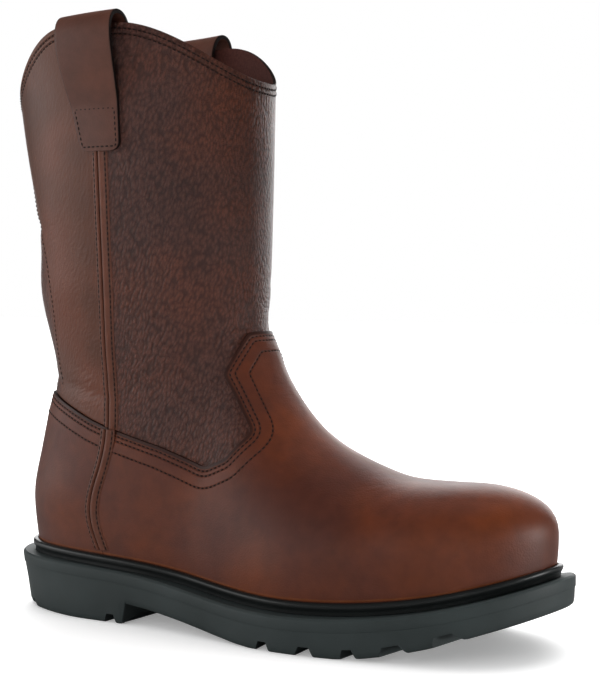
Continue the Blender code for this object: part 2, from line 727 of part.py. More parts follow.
def main():
    for obj in list(bpy.data.objects):
        bpy.data.objects.remove(obj)
    parts = bpy.data.collections.new("pull_on_work_boot")
    cutters = bpy.data.collections.new("cutters")
    for collection in (parts, cutters):
        bpy.context.scene.collection.children.link(collection)
    shaft_leather = finish("pebbled brown leather", (0.060, 0.024, 0.016), 0.52)
    foot_leather = finish("smooth red-brown leather", (0.110, 0.036, 0.018), 0.40)
    strip_leather = finish("strip leather", (0.120, 0.042, 0.022), 0.45)
    loop_leather = finish("strap leather", (0.050, 0.022, 0.016), 0.50)
    sole_rubber = finish("charcoal rubber", (0.026, 0.034, 0.035), 0.62)
    welt_rubber = finish("black welt rubber", (0.012, 0.013, 0.014), 0.30)
    board = finish("insole board", (0.090, 0.060, 0.040), 0.80)

    make_outsole(parts, cutters, sole_rubber)
    make_welt(parts, welt_rubber)
    make_insole(parts, board)
    make_upper(parts, shaft_leather)
    make_vamp(parts, cutters, foot_leather)
    make_counter(parts, cutters, foot_leather)
    make_strips(parts, cutters, strip_leather)
    for side in SIDES:
        make_pull_loop(side, parts, loop_leather)


main()
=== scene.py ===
"""Looks of a pull-on leather work boot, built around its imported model.

Sizes in the tables are millimetres: along from the back of the heel, across from the heel-to-toe line
(the outer side of the foot is negative) and height from the floor. The model's own frame is in metres,
with +X to the toe, +Y to the inner side of the foot and +Z up.
"""
import math
from functools import lru_cache

import bmesh
import bpy
import numpy as np
from mathutils import Matrix, Vector
from mathutils.kdtree import KDTree


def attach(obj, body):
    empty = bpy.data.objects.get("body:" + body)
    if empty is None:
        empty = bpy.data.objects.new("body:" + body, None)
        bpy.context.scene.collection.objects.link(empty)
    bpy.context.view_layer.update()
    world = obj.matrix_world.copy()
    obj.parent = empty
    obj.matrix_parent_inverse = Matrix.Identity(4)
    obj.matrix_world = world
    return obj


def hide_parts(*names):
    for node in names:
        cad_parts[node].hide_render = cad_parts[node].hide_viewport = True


bl_info = {
    "name": "Pull-on work boot",
    "version": (1, 0, 0),
    "blender": (4, 5, 0),
    "location": "View3D > Sidebar > Boot",
    "description": "Leather, rubber and stitching of a pull-on work boot",
    "category": "Object",
}

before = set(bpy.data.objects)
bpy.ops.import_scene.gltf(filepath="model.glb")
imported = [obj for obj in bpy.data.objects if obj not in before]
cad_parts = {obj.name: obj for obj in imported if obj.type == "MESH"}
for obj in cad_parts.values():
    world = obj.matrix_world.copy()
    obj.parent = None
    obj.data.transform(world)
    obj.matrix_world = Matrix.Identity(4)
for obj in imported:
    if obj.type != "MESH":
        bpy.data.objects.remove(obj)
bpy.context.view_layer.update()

MM = 0.001
SOLE_LENGTH = 312.0
GAP = 0.3               # between a piece and the one it lies on
WALL = 2.0              # leather and lining of the upper
OVERLAY = 1.8           # leather of vamp and counter
SKIVE = 0.8             # how much lower an overlay lies at its top edge
SKIVE_WIDTH = 12.0      # margin over which it comes down
STRIP_FOLD = 0.9        # leather of a folded side strip
LOOP_LEATHER = 2.2
WELT_LEDGE = 8.0        # from the outsole's edge in to the overlays
WELT_HEIGHT = 6.3       # top of the welt over the flange
WELT_CLEARANCE = 0.8    # from the overlays out to the welt's inner wall
FEATHER_RISE = 0.7      # lower edge of the leather over the flange
TREAD_DEPTH = 4.5       # of the edge notches
CHANNEL_DEPTH = 3.8
BAR_DEPTH = 3.3
NOTCH_MOUTH = 1.4       # width of a notch's cutter at its foot, over the notch's width at the tread's face
NOTCH_TAPER = 0.4       # width of a cutter's top over its foot
CHANNEL_TAPER = 0.68
COLLAR_PEAK = 304.4     # height of the collar at the sides, the back and the front
COLLAR_BACK = 270.0
COLLAR_FRONT = 277.0
COLLAR_PEAK_TURN = math.radians(104.0)      # turn from the back to where the collar falls to the front
COLLAR_FRONT_TURN = math.radians(190.0)     # and to the front's lowest point
BACK_PEAK_TURN = math.radians(81.0)         # and to where the rise from the back ends
BACK_SHARPNESS = 4.0                        # power of a rise: a higher one makes the low stretch wider
FRONT_SHARPNESS = {"lateral": 3.0, "medial": 2.3}

# Plan of the outsole: along, lateral, medial
OUTLINE = [
    (3, -16.0, 16.0), (14, -29.5, 30.0), (40, -39.5, 39.0), (78, -42.0, 38.0), (115, -44.5, 36.5),
    (150, -50.5, 40.0), (184, -57.0, 48.5), (215, -56.0, 55.5), (245, -51.0, 57.5), (275, -42.3, 52.0),
    (298, -25.7, 37.0),
]
TOE_TIP_ACROSS = 7.0
# Flange of the outsole and face of its tread: along, height
FLANGE = [
    (0, 30.6), (25, 29.4), (50, 28.7), (75, 27.7), (100, 26.0), (150, 19.8), (200, 18.0), (245, 21.8),
    (290, 31.8), (312, 38.5),
]
TREAD = [
    (0, 2.4), (4, 0.7), (9, 0), (88, 0), (90, 10.5), (104, 9.2), (125, 6.2), (148, 2.6), (162, 0.7),
    (172, 0), (218, 0), (232, 1.3), (246, 3.8), (262, 7.8), (280, 13.4), (298, 19.2), (312, 24.0),
]
# Ridge of the foot: along, height; along, across; along, power of the section's superellipse
INSTEP = [
    (0, 118), (46, 130), (90, 144), (130, 149), (146, 143.0), (156, 128.0), (168, 110.0), (184, 95.2),
    (202, 85.2), (222, 78.8), (242, 75.8), (262, 76.2), (320, 76.2),
]
SPINE = [(46, -0.5), (90, 0.0), (130, 1.5), (170, 3.5), (210, 4.5), (258, 4.0)]
FULLNESS = [(0, 2.3), (100, 2.1), (160, 2.0), (230, 2.25), (262, 2.5), (330, 2.5)]
# Shaft: height, back, front, half width
SHAFT = [
    (20, 30.0, 136.0, 30.0), (60, 27.0, 140.0, 33.0), (117, 21.8, 144.0, 36.5), (134, 20.6, 145.1, 38.4),
    (155, 15.6, 146.0, 41.0), (172, 13.7, 146.0, 43.2), (190, 13.8, 146.0, 45.5), (212, 12.0, 146.2, 47.9),
    (240, 7.0, 146.5, 50.5), (290, 0.0, 147.4, 54.0), (325, -5.0, 149.0, 56.0),
]
SHAFT_FULLNESS = 2.15
FOOT_INSET = WELT_LEDGE + OVERLAY + GAP
HEEL_CENTRE, TOE_CENTRE = SPINE[0][0], SPINE[-1][0]
WIDEST_RISE = 20.0              # widest level of the foot over the flange
TUCK = 0.045                    # how far the foot draws in below that level
ANKLE_BLEND = 14.0              # width of the blend between foot and shaft
FIELD_REACH = (-60.0, 200.0)    # limits of the distance to a form
COLUMN_RISE = (60.0, 75.0)      # handles of the upper's columns at the sole: at the heel, more at the toe
COLUMN_FALL = (120.0, 120.0)    # and at the collar: at the back, more at the front
COLLAR_LEVEL = 290.0            # level of the shaft that the collar's ring starts from
ROUND_FRONT = 165.0             # along, where points start that settle on the front or the back
ROUND_BACK = 10.0
SEAM_FOOT = 72.0                # along, where the side seam meets the flange
# Columns of the vamp fan out to the toe: shares of its top edge, shares of its bottom edge
VAMP_FAN = ((0, 0.24, 0.5, 0.76, 1), (0, 0.33, 0.5, 0.67, 1))

# Side seam under the strips: height, along
SEAM = [
    (20, 77.0), (37, 71.4), (49, 66.8), (62, 66.5), (78, 71.8), (91, 75.6), (101, 76.8), (125, 76.9),
    (146, 77.7), (166, 78.9), (196, 80.1), (222, 81.2), (245, 82.1),
]
# Top edges of vamp and counter in side view: along, height, corner radius
VAMP_EDGE = [
    (76.6, 99.8, 0.0), (108.0, 91.6, 40.0), (134.5, 82.6, 8.0), (146.5, 87.6, 8.0), (158.2, 100.6, 4.0),
    (139.0, 128.3, 4.0), (145.4, 150.0, 3.0), (340.0, 150.0, 0.0),
]
COUNTER_EDGE = [
    (76.6, 99.8, 0.0), (64.0, 103.7, 20.0), (46.0, 110.4, 40.0), (30.0, 116.0, 20.0), (-40.0, 120.0, 0.0),
]
SEAM_TOP = VAMP_EDGE[0][1]
STRIP_FOOT = 36.5
SIDES = {"lateral": -1, "medial": 1}
# Pull loop, patch over the collar to the inside: height, off the upper's face, half width
LOOP = [
    (241.0, 0.0, 11.4), (246, 0.0, 12.0), (255, 0.0, 12.9), (263, 0.3, 13.7), (269, 2.0, 14.4),
    (278, 4.9, 15.2), (288, 7.6, 15.8), (297.5, 8.8, 16.0), (304.3, 7.3, 16.0), (307.0, 3.6, 15.9),
    (306.2, -1.6, 15.8), (301.5, -5.6, 15.7), (293, -7.4, 15.5), (283, -6.4, 15.2), (273, -4.7, 14.8),
    (262, -4.4, 14.2), (250, -4.4, 13.8),
]
LOOP_ALONG = {"lateral": 81.4, "medial": 70.6}
LOOP_FREE = (263.0, 300.0)
LOOP_TILT = 0.06
PATCH_LEAN = 2.0
LOOP_RISE = {"lateral": 0.0, "medial": 2.8}
# Tread. Notches: along, width, reach in from the edge, turn. Channels: from, to, inset, width.
# Bars: along, width, half length
EDGE_NOTCHES = [
    (20, 7, 17, -28), (80, 8, 20, 0), (181, 8, 21, -8), (204, 10, 24, -4), (226, 8, 24, 4), (247, 13, 23, 14),
    (271, 10, 20, 28),
]
CHANNELS = [(20, 80, 24, 5), (173, 286, 27, 5)]
CROSS_BARS = [(46, 5, 17), (192, 5, 27), (215, 5, 30), (239, 5, 29), (264, 5, 23)]
# Welt's section: out from the vamp's face, up from the flange
WELT_SECTION = [
    (2.0, GAP), (2.02, 0.8), (2.08, 1.6), (2.2, 2.2), (2.5, 2.7), (2.85, 3.2), (3.1, 3.9), (3.15, 4.6),
    (3.0, 5.3), (2.6, 5.85), (2.0, 6.15), (1.4, WELT_HEIGHT),
]

EDGE_ROWS = (2.6, 5.0, 11.0)    # stitch rows from the top edges of vamp and counter
COLLAR_ROWS = (3.0, 5.8)        # stitch rows below the collar's edge
STRIP_ROW = 3.5                 # stitch rows beside the side seam
STRIP_CREASE = -1.0             # crease between a strip's rolls, off the seam
PATCH_ROW = 2.0                 # stitch rows in from the edges of a loop's patch
PATCH_HEIGHTS = (243.2, 262.0)
BACK_ROW = 1.5                  # stitch rows out from the back strip's edges
BACK_SEWN = (120, 268)          # heights that they run between
FEATHER_LINE = 7.1              # painted pale line of bounce light on the leather over the flange
STITCH_SUNK = 0.3               # share of the thread's width that lies in the leather
SOLE_SHARP = 32.0               # angle in degrees past which the outsole shows an edge

# Creases of the leather. Line in side view (along, height to along, height), side of the boot
# (-1 outer, 1 inner, 0 both), half width, depth (a ridge is below 0)
CREASES = [
    (-14, 209, 12, 206, 0, 3.6, 2.8),
    (140, 151, 158, 146, 0, 6.0, 0.9),
    (-8, 176, 40, 172, 0, 15.0, -1.0),
    (30, 124, 66, 117, 0, 3.0, 0.7),
    (-12, 62, 30, 62, 0, 17.0, -1.8),
    (60, 128, 100, 124, -1, 12.0, 0.6),
    (112, 170, 140, 160, 0, 8.0, 0.7),
    (132, 163, 148, 154, 0, 2.6, 0.45),
    (134, 178, 148, 172, 0, 3.0, 0.4),
    (112, 205, 140, 232, -1, 26.0, 0.9),
    (95, 250, 125, 215, -1, 20.0, -0.8),
    (150, 136, 162, 118, 0, 5.0, 0.35),
    (158, 124, 176, 103, 0, 6.0, 0.5),
    (170, 116, 186, 96, 0, 5.0, 0.4),
    (222, 80, 236, 40, 0, 11.0, 0.8),
    (246, 66, 258, 40, 0, 12.0, -0.5),
    (150, 70, 200, 45, 0, 22.0, 1.3),
    (120, 78, 150, 62, 0, 16.0, -0.7),
]


def natural_spline(table, column=1):
    """Smooth function through a table's rows, from column 0 to the given column."""
    knots = np.array([row[0] for row in table], float)
    values = np.array([row[column] for row in table], float)
    step = np.diff(knots)
    slope = np.diff(values) / step
    count = len(knots)
    system = np.eye(count)
    right = np.zeros(count)
    for k in range(1, count - 1):
        system[k, k - 1:k + 2] = step[k - 1], 2 * (step[k - 1] + step[k]), step[k]
        right[k] = 6 * (slope[k] - slope[k - 1])
    bend = np.linalg.solve(system, right)

    def value(at):
        at = np.clip(np.asarray(at, float), knots[0], knots[-1])
        k = np.clip(np.searchsorted(knots, at, side="right") - 1, 0, count - 2)
        h = step[k]
        a = (knots[k + 1] - at) / h
        b = 1 - a
        cubic = ((a**3 - a) * bend[k] + (b**3 - b) * bend[k + 1]) * h**2 / 6
        return a * values[k] + b * values[k + 1] + cubic

    return value


def closed_spline(points, count):
    """Smooth closed curve through points, as count samples at even steps of its parameter."""
    points = np.asarray(points, float)
    n = len(points)
    h = np.linalg.norm(np.roll(points, -1, 0) - points, axis=1)
    slope = (np.roll(points, -1, 0) - points) / h[:, None]
    system = np.zeros((n, n))
    for k in range(n):
        system[k, k - 1] += h[k - 1]
        system[k, k] += 2 * (h[k - 1] + h[k])
        system[k, (k + 1) % n] += h[k]
    bend = np.linalg.solve(system, 6 * (slope - np.roll(slope, 1, 0)))
    knots = np.concatenate([[0], np.cumsum(h)])
    at = np.linspace(0, knots[-1], count, endpoint=False)
    k = np.searchsorted(knots, at, side="right") - 1
    a = ((knots[k + 1] - at) / h[k])[:, None]
    b = 1 - a
    following = (k + 1) % n
    cubic = ((a**3 - a) * bend[k] + (b**3 - b) * bend[following]) * h[k][:, None]**2 / 6
    return a * points[k] + b * points[following] + cubic


def outward(points):
    """Unit normals of a closed plan curve that runs from heel by the lateral side to the toe."""
    tangent = np.roll(points, -1, 0) - np.roll(points, 1, 0)
    normal = np.column_stack([tangent[:, 1], -tangent[:, 0]])
    return normal / np.linalg.norm(normal, axis=1)[:, None]


def plan_outline(count=1440):
    """The outsole's edge from above, from the heel along the lateral side to the toe and back."""
    lateral = [(along, outer) for along, outer, inner in OUTLINE]
    medial = [(along, inner) for along, outer, inner in reversed(OUTLINE)]
    return closed_spline([(0, 0)] + lateral + [(SOLE_LENGTH, TOE_TIP_ACROSS)] + medial, count)


EDGE = plan_outline()
EDGE_OUT = outward(EDGE)
FOOT_PLAN = EDGE - FOOT_INSET * EDGE_OUT
flange_height = natural_spline(FLANGE)
instep_height = natural_spline(INSTEP)
spine_across = natural_spline(SPINE)
fullness = natural_spline(FULLNESS)
shaft_back, shaft_front, shaft_half = (natural_spline(SHAFT, column) for column in (1, 2, 3))
seam_along = natural_spline(SEAM)


def tread_height(along):
    rows = np.array(TREAD, float)
    return np.interp(along, rows[:, 0], rows[:, 1])


def tread_slope(along, span=3.0):
    """Angle of the tread's face at a station."""
    return math.atan(float(tread_height(along + span) - tread_height(along - span)) / (2 * span))


def plan_side(lateral):
    """Rows of the foot's plan on one side, in order along the boot."""
    side = FOOT_PLAN[:len(FOOT_PLAN) // 2] if lateral else FOOT_PLAN[len(FOOT_PLAN) // 2:]
    return side[np.argsort(side[:, 0])]


LATERAL, MEDIAL = plan_side(True), plan_side(False)


def polar_plan(centre):
    """Angle and radius of the foot's plan about a point of the spine."""
    ray = FOOT_PLAN - (centre, float(spine_across(centre)))
    angle = np.arctan2(ray[:, 1], ray[:, 0])
    order = np.argsort(angle)
    angle, radius = angle[order], np.hypot(ray[:, 0], ray[:, 1])[order]
    turn = 2 * math.pi
    return np.concatenate([angle - turn, angle, angle + turn]), np.tile(radius, 3)


TOE_POLAR, HEEL_POLAR = polar_plan(TOE_CENTRE), polar_plan(HEEL_CENTRE)


def share_of_plan(x, y):
    """0 on the foot's spine, 1 on its plan outline."""
    on_spine = np.clip(x, HEEL_CENTRE, TOE_CENTRE)
    centre = spine_across(on_spine)
    along, across = x - on_spine, y - centre
    angle = np.arctan2(across, along)
    lateral = centre - np.interp(x, LATERAL[:, 0], LATERAL[:, 1])
    medial = np.interp(x, MEDIAL[:, 0], MEDIAL[:, 1]) - centre
    reach = np.where(across < 0, lateral, medial)
    reach = np.where(x > TOE_CENTRE, np.interp(angle, *TOE_POLAR), reach)
    reach = np.where(x < HEEL_CENTRE, np.interp(angle, *HEEL_POLAR), reach)
    return np.hypot(along, across) / reach


def foot_field(x, y, z):
    """Below 0 inside the foot, above 0 outside."""
    on_boot = np.clip(x, 0, SOLE_LENGTH)
    widest = flange_height(on_boot) + WIDEST_RISE
    rise = np.clip((z - widest) / (instep_height(on_boot) - widest), 0, None)
    below = np.clip((widest - z) / WIDEST_RISE, 0, None)
    power = fullness(on_boot)
    return (share_of_plan(x, y)**power + rise**power)**(1 / power) - 1 + TUCK * below**2


def shaft_field(x, y, z):
    """Below 0 inside the shaft, above 0 outside."""
    back, front = shaft_back(z), shaft_front(z)
    along = np.abs((x - (back + front) / 2) / ((front - back) / 2))
    across = np.abs(y / shaft_half(z))
    return (along**SHAFT_FULLNESS + across**SHAFT_FULLNESS)**(1 / SHAFT_FULLNESS) - 1


def distance_and_way_out(field, points, step=0.05):
    """First-order distance in millimetres from points to a field's zero surface, and the way off it."""
    def at(p):
        return field(p[..., 0], p[..., 1], p[..., 2])
    slope = np.stack([(at(points + axis) - at(points - axis)) / (2 * step) for axis in np.eye(3) * step], -1)
    steepness = np.maximum(np.linalg.norm(slope, axis=-1), 1e-4)
    return np.clip(at(points) / steepness, *FIELD_REACH), slope / steepness[..., None]


def upper_form(points):
    """Distance to the upper's outer face and the way out: foot and shaft, blended at the ankle."""
    foot, foot_out = distance_and_way_out(foot_field, points)
    shaft, shaft_out = distance_and_way_out(shaft_field, points)
    share = np.clip(0.5 + 0.5 * (shaft - foot) / ANKLE_BLEND, 0, 1)
    distance = shaft * (1 - share) + foot * share - ANKLE_BLEND * share * (1 - share)
    return distance, shaft_out * (1 - share)[..., None] + foot_out * share[..., None]


def settle(points, level=0.0, free=(1, 1, 1), steps=12):
    """Moves points, along the free axes, to the surface that lies level outside the upper's face."""
    points = np.array(points, float)
    for _ in range(steps):
        distance, out = upper_form(points)
        out = out * free
        miss = np.clip(distance - level, -6, 6)
        points -= (miss / np.maximum((out**2).sum(-1), 0.05))[..., None] * out
    return points


def way_out(points):
    out = upper_form(points)[1]
    return out / np.linalg.norm(out, axis=-1)[..., None]


def smooth_step(low, high, value):
    t = np.clip((value - low) / (high - low), 0, 1)
    return t * t * (3 - 2 * t)


def crease_depth(points):
    """How far the leather lies below its plain form, from the listed creases."""
    x, y, z = points[..., 0], points[..., 1], points[..., 2]
    depth = np.zeros(x.shape)
    for x0, z0, x1, z1, side, width, deep in CREASES:
        length = math.hypot(x1 - x0, z1 - z0)
        along = ((x - x0) * (x1 - x0) + (z - z0) * (z1 - z0)) / length
        off = ((x - x0) * (z1 - z0) - (z - z0) * (x1 - x0)) / length
        beyond = np.maximum(np.maximum(-along, along - length), 0)
        fade = np.exp(-(off / width)**2 - (beyond / (0.3 * length + width))**2)
        depth += deep * fade * (smooth_step(-12, 12, side * y) if side else 1.0)
    return depth


def dressed(points, level):
    """Points of the plain form, moved out to their level of leather, with its creases."""
    out = way_out(points)
    lifted = points + np.asarray(level)[..., None] * out
    return settle(lifted, level, steps=3) - crease_depth(points)[..., None] * out


def collar_height(turn):
    """Height of the collar's edge, by the turn from the back."""
    turn = np.asarray(turn, float)
    lateral = turn < COLLAR_FRONT_TURN
    from_back = np.where(lateral, turn, 2 * math.pi - turn)
    from_front = np.abs(turn - COLLAR_FRONT_TURN)
    front_span = np.where(lateral, COLLAR_FRONT_TURN, 2 * math.pi - COLLAR_FRONT_TURN) - COLLAR_PEAK_TURN
    behind = from_back < COLLAR_PEAK_TURN
    share = np.where(behind, np.minimum(from_back / BACK_PEAK_TURN, 1), from_front / front_span)
    dip = np.where(behind, COLLAR_BACK, COLLAR_FRONT)
    front = np.where(lateral, FRONT_SHARPNESS["lateral"], FRONT_SHARPNESS["medial"])
    return dip + (COLLAR_PEAK - dip) * np.sin(share * math.pi / 2)**np.where(behind, BACK_SHARPNESS, front)


def lengths_along(curve):
    """Length of a curve up to each of its points."""
    return np.concatenate([[0], np.cumsum(np.linalg.norm(np.diff(curve, axis=0), axis=1))])


def even_samples(curve, shares):
    """Points of an open curve at shares of its length."""
    lengths = lengths_along(curve)
    return np.column_stack([np.interp(shares * lengths[-1], lengths, axis) for axis in np.transpose(curve)])


def feather_ring(turn):
    """Points on the foot's plan, by the turn from the heel along the lateral side to the toe and back."""
    toe = len(FOOT_PLAN) // 2
    lateral, medial = FOOT_PLAN[:toe + 1], np.vstack([FOOT_PLAN[toe:], FOOT_PLAN[:1]])
    share = turn / math.pi
    near = even_samples(lateral, np.clip(share, 0, 1))
    far = even_samples(medial, np.clip(share - 1, 0, 1))
    return np.where((share <= 1)[:, None], near, far)


def free_axes(grid):
    """1 where a grid's points may settle: the rings at the sole and the collar keep their height."""
    free = np.ones_like(grid)
    free[0, :, 2] = 0
    free[-1, :, 2] = 0
    return free


def spline_weights(count, at):
    """Matrix from count even samples to the smooth curve through them, read at places 0 to count - 1."""
    rows = np.eye(count)
    return np.column_stack([natural_spline(list(enumerate(row)))(at) for row in rows])


def finer(grid, rows, columns, closed=False, pad=6):
    """The smooth surface through a grid of points, with more rows and columns."""
    tall = np.einsum("rk,kcd->rcd", spline_weights(len(grid), np.linspace(0, len(grid) - 1, rows)), grid)
    width = grid.shape[1]
    if closed:
        tall = np.concatenate([tall[:, -pad:], tall, tall[:, :pad + 1]], 1)
        at = pad + np.arange(columns) * width / columns
    else:
        at = np.linspace(0, width - 1, columns)
    return np.einsum("ck,rkd->rcd", spline_weights(tall.shape[1], at), tall)


@lru_cache(maxsize=None)
def upper_grid(columns=220, rows=124, coarse=(60, 26), rounds=14, pull=0.6):
    """Points on the upper's outer face, sole to collar, evened out over the face."""
    turn = np.linspace(0, 2 * math.pi, coarse[0], endpoint=False)
    plan = feather_ring(turn)
    low = np.column_stack([plan, flange_height(plan[:, 0]) + FEATHER_RISE])
    back, front, half = (side(COLLAR_LEVEL) for side in (shaft_back, shaft_front, shaft_half))
    high = np.column_stack([(back + front) / 2 - (front - back) / 2 * np.cos(turn), -half * np.sin(turn),
                            collar_height(turn)])
    forward = (1 - np.cos(turn)) / 2
    zero = np.zeros(coarse[0])
    rise = low + np.column_stack([zero, zero, COLUMN_RISE[0] + COLUMN_RISE[1] * forward**3])
    fall = high - np.column_stack([zero, zero, COLUMN_FALL[0] + COLUMN_FALL[1] * forward**2])
    v = np.linspace(0, 1, coarse[1] + 1)[:, None, None]
    grid = (1 - v)**3 * low + 3 * v * (1 - v)**2 * rise + 3 * v**2 * (1 - v) * fall + v**3 * high
    free = free_axes(grid)
    grid = settle(grid, 0, free, steps=30)
    for _ in range(rounds):
        inner = grid[1:-1]
        around = np.roll(inner, 1, 1) + np.roll(inner, -1, 1) + grid[:-2] + grid[2:]
        grid[1:-1] = (1 - pull) * inner + pull * around / 4
        grid = settle(grid, 0, free, steps=3)
    grid = finer(grid, rows, columns, closed=True)
    return settle(grid, 0, free_axes(grid), steps=3)


def fitted_patch(low, high, left, right, rounds=24, pull=0.8):
    """Grid on the upper's face between four edges: rows from low to high, columns from left to right."""
    u = np.linspace(0, 1, len(low))[None, :, None]
    v = np.linspace(0, 1, len(left))[:, None, None]
    corners = (1 - v) * ((1 - u) * low[0] + u * low[-1]) + v * ((1 - u) * high[0] + u * high[-1])
    grid = (1 - v) * low + v * high + (1 - u) * left[:, None] + u * right[:, None] - corners
    grid[1:-1, 1:-1] = settle(grid[1:-1, 1:-1], steps=12)
    for _ in range(rounds):
        inner = grid[1:-1, 1:-1]
        around = grid[1:-1, :-2] + grid[1:-1, 2:] + grid[:-2, 1:-1] + grid[2:, 1:-1]
        grid[1:-1, 1:-1] = (1 - pull) * inner + pull * around / 4
        grid[1:-1, 1:-1] = settle(grid[1:-1, 1:-1], steps=2)
    return grid


def rounded(table, arc_points=9, most=0.48):
    """Side-view points of an edge: each corner is turned by its radius, within most of each side."""
    corners = [Vector(row[:2]) for row in table]
    points = [corners[0]]
    for before, corner, after, row in zip(corners, corners[1:], corners[2:], table[1:]):
        inward, onward = (before - corner).normalized(), (after - corner).normalized()
        half = inward.angle(onward) / 2
        shortest = min((before - corner).length, (after - corner).length)
        reach = min(row[2] / math.tan(half), most * shortest)
        start, end = corner + inward * reach, corner + onward * reach
        for k in range(arc_points):
            t = k / (arc_points - 1)
            points.append(start * (1 - t)**2 + corner * 2 * t * (1 - t) + end * t**2)
    points.append(corners[-1])
    return np.array([tuple(point) for point in points])


def on_side(outline, sign, level=0.0, start=45.0):
    """Side-view points (along, height) laid on one side of the upper."""
    outline = np.asarray(outline, float)
    across = np.full(len(outline), sign * start)
    return settle(np.column_stack([outline[:, 0], across, outline[:, 1]]), level, (0, 1, 0), steps=14)


def seam_line(side, heights, shift=0.0):
    """Points up one side seam on the upper's face; above the vamp the inner seam leans back to its loop."""
    lean = LOOP_ALONG[side] - LOOP_ALONG["lateral"]
    leaning = lean * np.clip((heights - SEAM_TOP) / (LOOP[0][0] - SEAM_TOP), 0, 1)
    return on_side(np.column_stack([seam_along(heights) + shift + leaning, heights]), SIDES[side])


def across_between(first, last, count, start):
    """Points on the upper's face from one side to the other, round its front or back."""
    share = np.linspace(0, 1, count)[1:-1, None]
    points = first * (1 - share) + last * share
    points[:, 0] = start
    return settle(points, 0.0, (1, 0, 0), steps=30)


def panel_edges(edge, front, columns, rows):
    """Four edges of a panel that wraps the foot's front or back, up to a top edge given in side view."""
    side = even_samples(rounded(edge)[:-1], np.linspace(0, 1, 200))
    lateral, medial = on_side(side, -1), on_side(side, 1)
    start = ROUND_FRONT if front else ROUND_BACK
    top = np.vstack([lateral, across_between(lateral[-1], medial[-1], 40, start), medial[::-1]])
    heights = np.linspace(0, 1, rows)
    bottoms = []
    sides = []
    foot = float(flange_height(SEAM_FOOT)) + FEATHER_RISE
    for sign in (-1, 1):
        z = foot + (edge[0][1] - foot) * heights
        sides.append(on_side(np.column_stack([seam_along(z), z]), sign))
        bottoms.append(sides[-1][0])
    turn = np.linspace(0, 2 * math.pi, 2880, endpoint=False)
    ring = feather_ring(turn)
    near = [int(np.argmin(np.hypot(*(ring - bottom[:2]).T))) for bottom in bottoms]
    if front:
        plan = ring[near[0]:near[1] + 1]
    else:
        plan = np.vstack([ring[near[1]:], ring[:near[0] + 1]])[::-1]
    bottom = np.column_stack([plan, flange_height(plan[:, 0]) + FEATHER_RISE])
    shares = np.linspace(0, 1, columns)
    fanned = np.interp(shares, *VAMP_FAN) if front else shares
    low = settle(even_samples(bottom, fanned), 0.0, (1, 1, 0))
    high = even_samples(top, shares)
    low[0], low[-1] = bottoms
    sides[0][-1], sides[1][-1] = high[0], high[-1]
    return low, high, sides[0], sides[1]


@lru_cache(maxsize=None)
def vamp_grid():
    grid = fitted_patch(*panel_edges(VAMP_EDGE, True, 300, 34))
    return settle(finer(grid, 100, 300), steps=2)


@lru_cache(maxsize=None)
def counter_grid():
    grid = fitted_patch(*panel_edges(COUNTER_EDGE, False, 150, 24))
    return settle(finer(grid, 60, 150), steps=2)


def distance_to_line(points, line):
    """Distance from each point to the nearest point of a finely sampled line."""
    tree = KDTree(3000)
    for k, spot in enumerate(even_samples(line, np.linspace(0, 1, 3000))):
        tree.insert(spot, k)
    tree.balance()
    flat = points.reshape(-1, 3)
    return np.array([tree.find(point)[2] for point in flat]).reshape(points.shape[:-1])


def placed(points):
    """Millimetre points from the heel to the model's frame, in metres."""
    return (np.asarray(points, float) - (SOLE_LENGTH / 2, 0, 0)) * MM


def mesh_from(name, bm):
    """Mesh with what a bmesh holds, which is then freed."""
    mesh = bpy.data.meshes.new(name)
    bm.to_mesh(mesh)
    bm.free()
    return mesh


def linked(name, data):
    """New object of the scene."""
    obj = bpy.data.objects.new(name, data)
    bpy.context.scene.collection.objects.link(obj)
    return obj


def sheet(grid, closed=False, **marks):
    """Mesh of quads over a grid of points (rows, columns), with a mark at each point."""
    rows, width = grid.shape[:2]
    columns = width + closed
    bm = bmesh.new()
    bmesh.ops.create_grid(bm, x_segments=columns - 1, y_segments=rows - 1, size=1.0)
    bm.verts.ensure_lookup_table()
    layers = [(bm.verts.layers.float.new(name), values) for name, values in marks.items()]
    spots = placed(grid)
    for k, vert in enumerate(bm.verts):
        row, column = divmod(k, columns)
        column %= width
        vert.co = spots[row, column]
        for layer, values in layers:
            vert[layer] = values[row, column]
    bmesh.ops.remove_doubles(bm, verts=bm.verts, dist=1e-7)
    return bm


def piece(name, bm, materials, replaced=(), sharp=40.0, outwards=None):
    """Object of the boot from a mesh: rides on the model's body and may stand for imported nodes."""
    if outwards is None:
        bmesh.ops.recalc_face_normals(bm, faces=bm.faces)
    else:
        bm.faces.ensure_lookup_table()
        bm.normal_update()
        middle = bm.faces[len(bm.faces) // 2]
        if middle.normal.dot(Vector(outwards(middle.calc_center_median()))) < 0:
            bmesh.ops.reverse_faces(bm, faces=bm.faces)
    mesh = mesh_from(name, bm)
    for material in materials:
        mesh.materials.append(material)
    mesh.shade_smooth()
    mesh.set_sharp_from_angle(angle=math.radians(sharp))
    obj = linked(name, mesh)
    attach(obj, "root")
    if replaced:
        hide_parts(*replaced)
    return obj


def leather_wall(obj, thickness, inside=0, rim=0, edge=0.45):
    """Gives a sheet its thickness, inward, with its own materials inside and on the cut edge."""
    wall = obj.modifiers.new("Leather", "SOLIDIFY")
    wall.thickness = thickness * MM
    wall.offset = -1
    wall.material_offset = inside
    wall.material_offset_rim = rim
    soften = obj.modifiers.new("Soft edge", "BEVEL")
    soften.width = edge * MM
    soften.segments = 2
    soften.limit_method = "ANGLE"
    soften.angle_limit = math.radians(55)
    soften.material = -1
    return obj


def off_the_boot(spot):
    """Way out of the boot at a place in the model's frame."""
    return way_out(np.array(spot)[None] / MM + (SOLE_LENGTH / 2, 0, 0))[0]


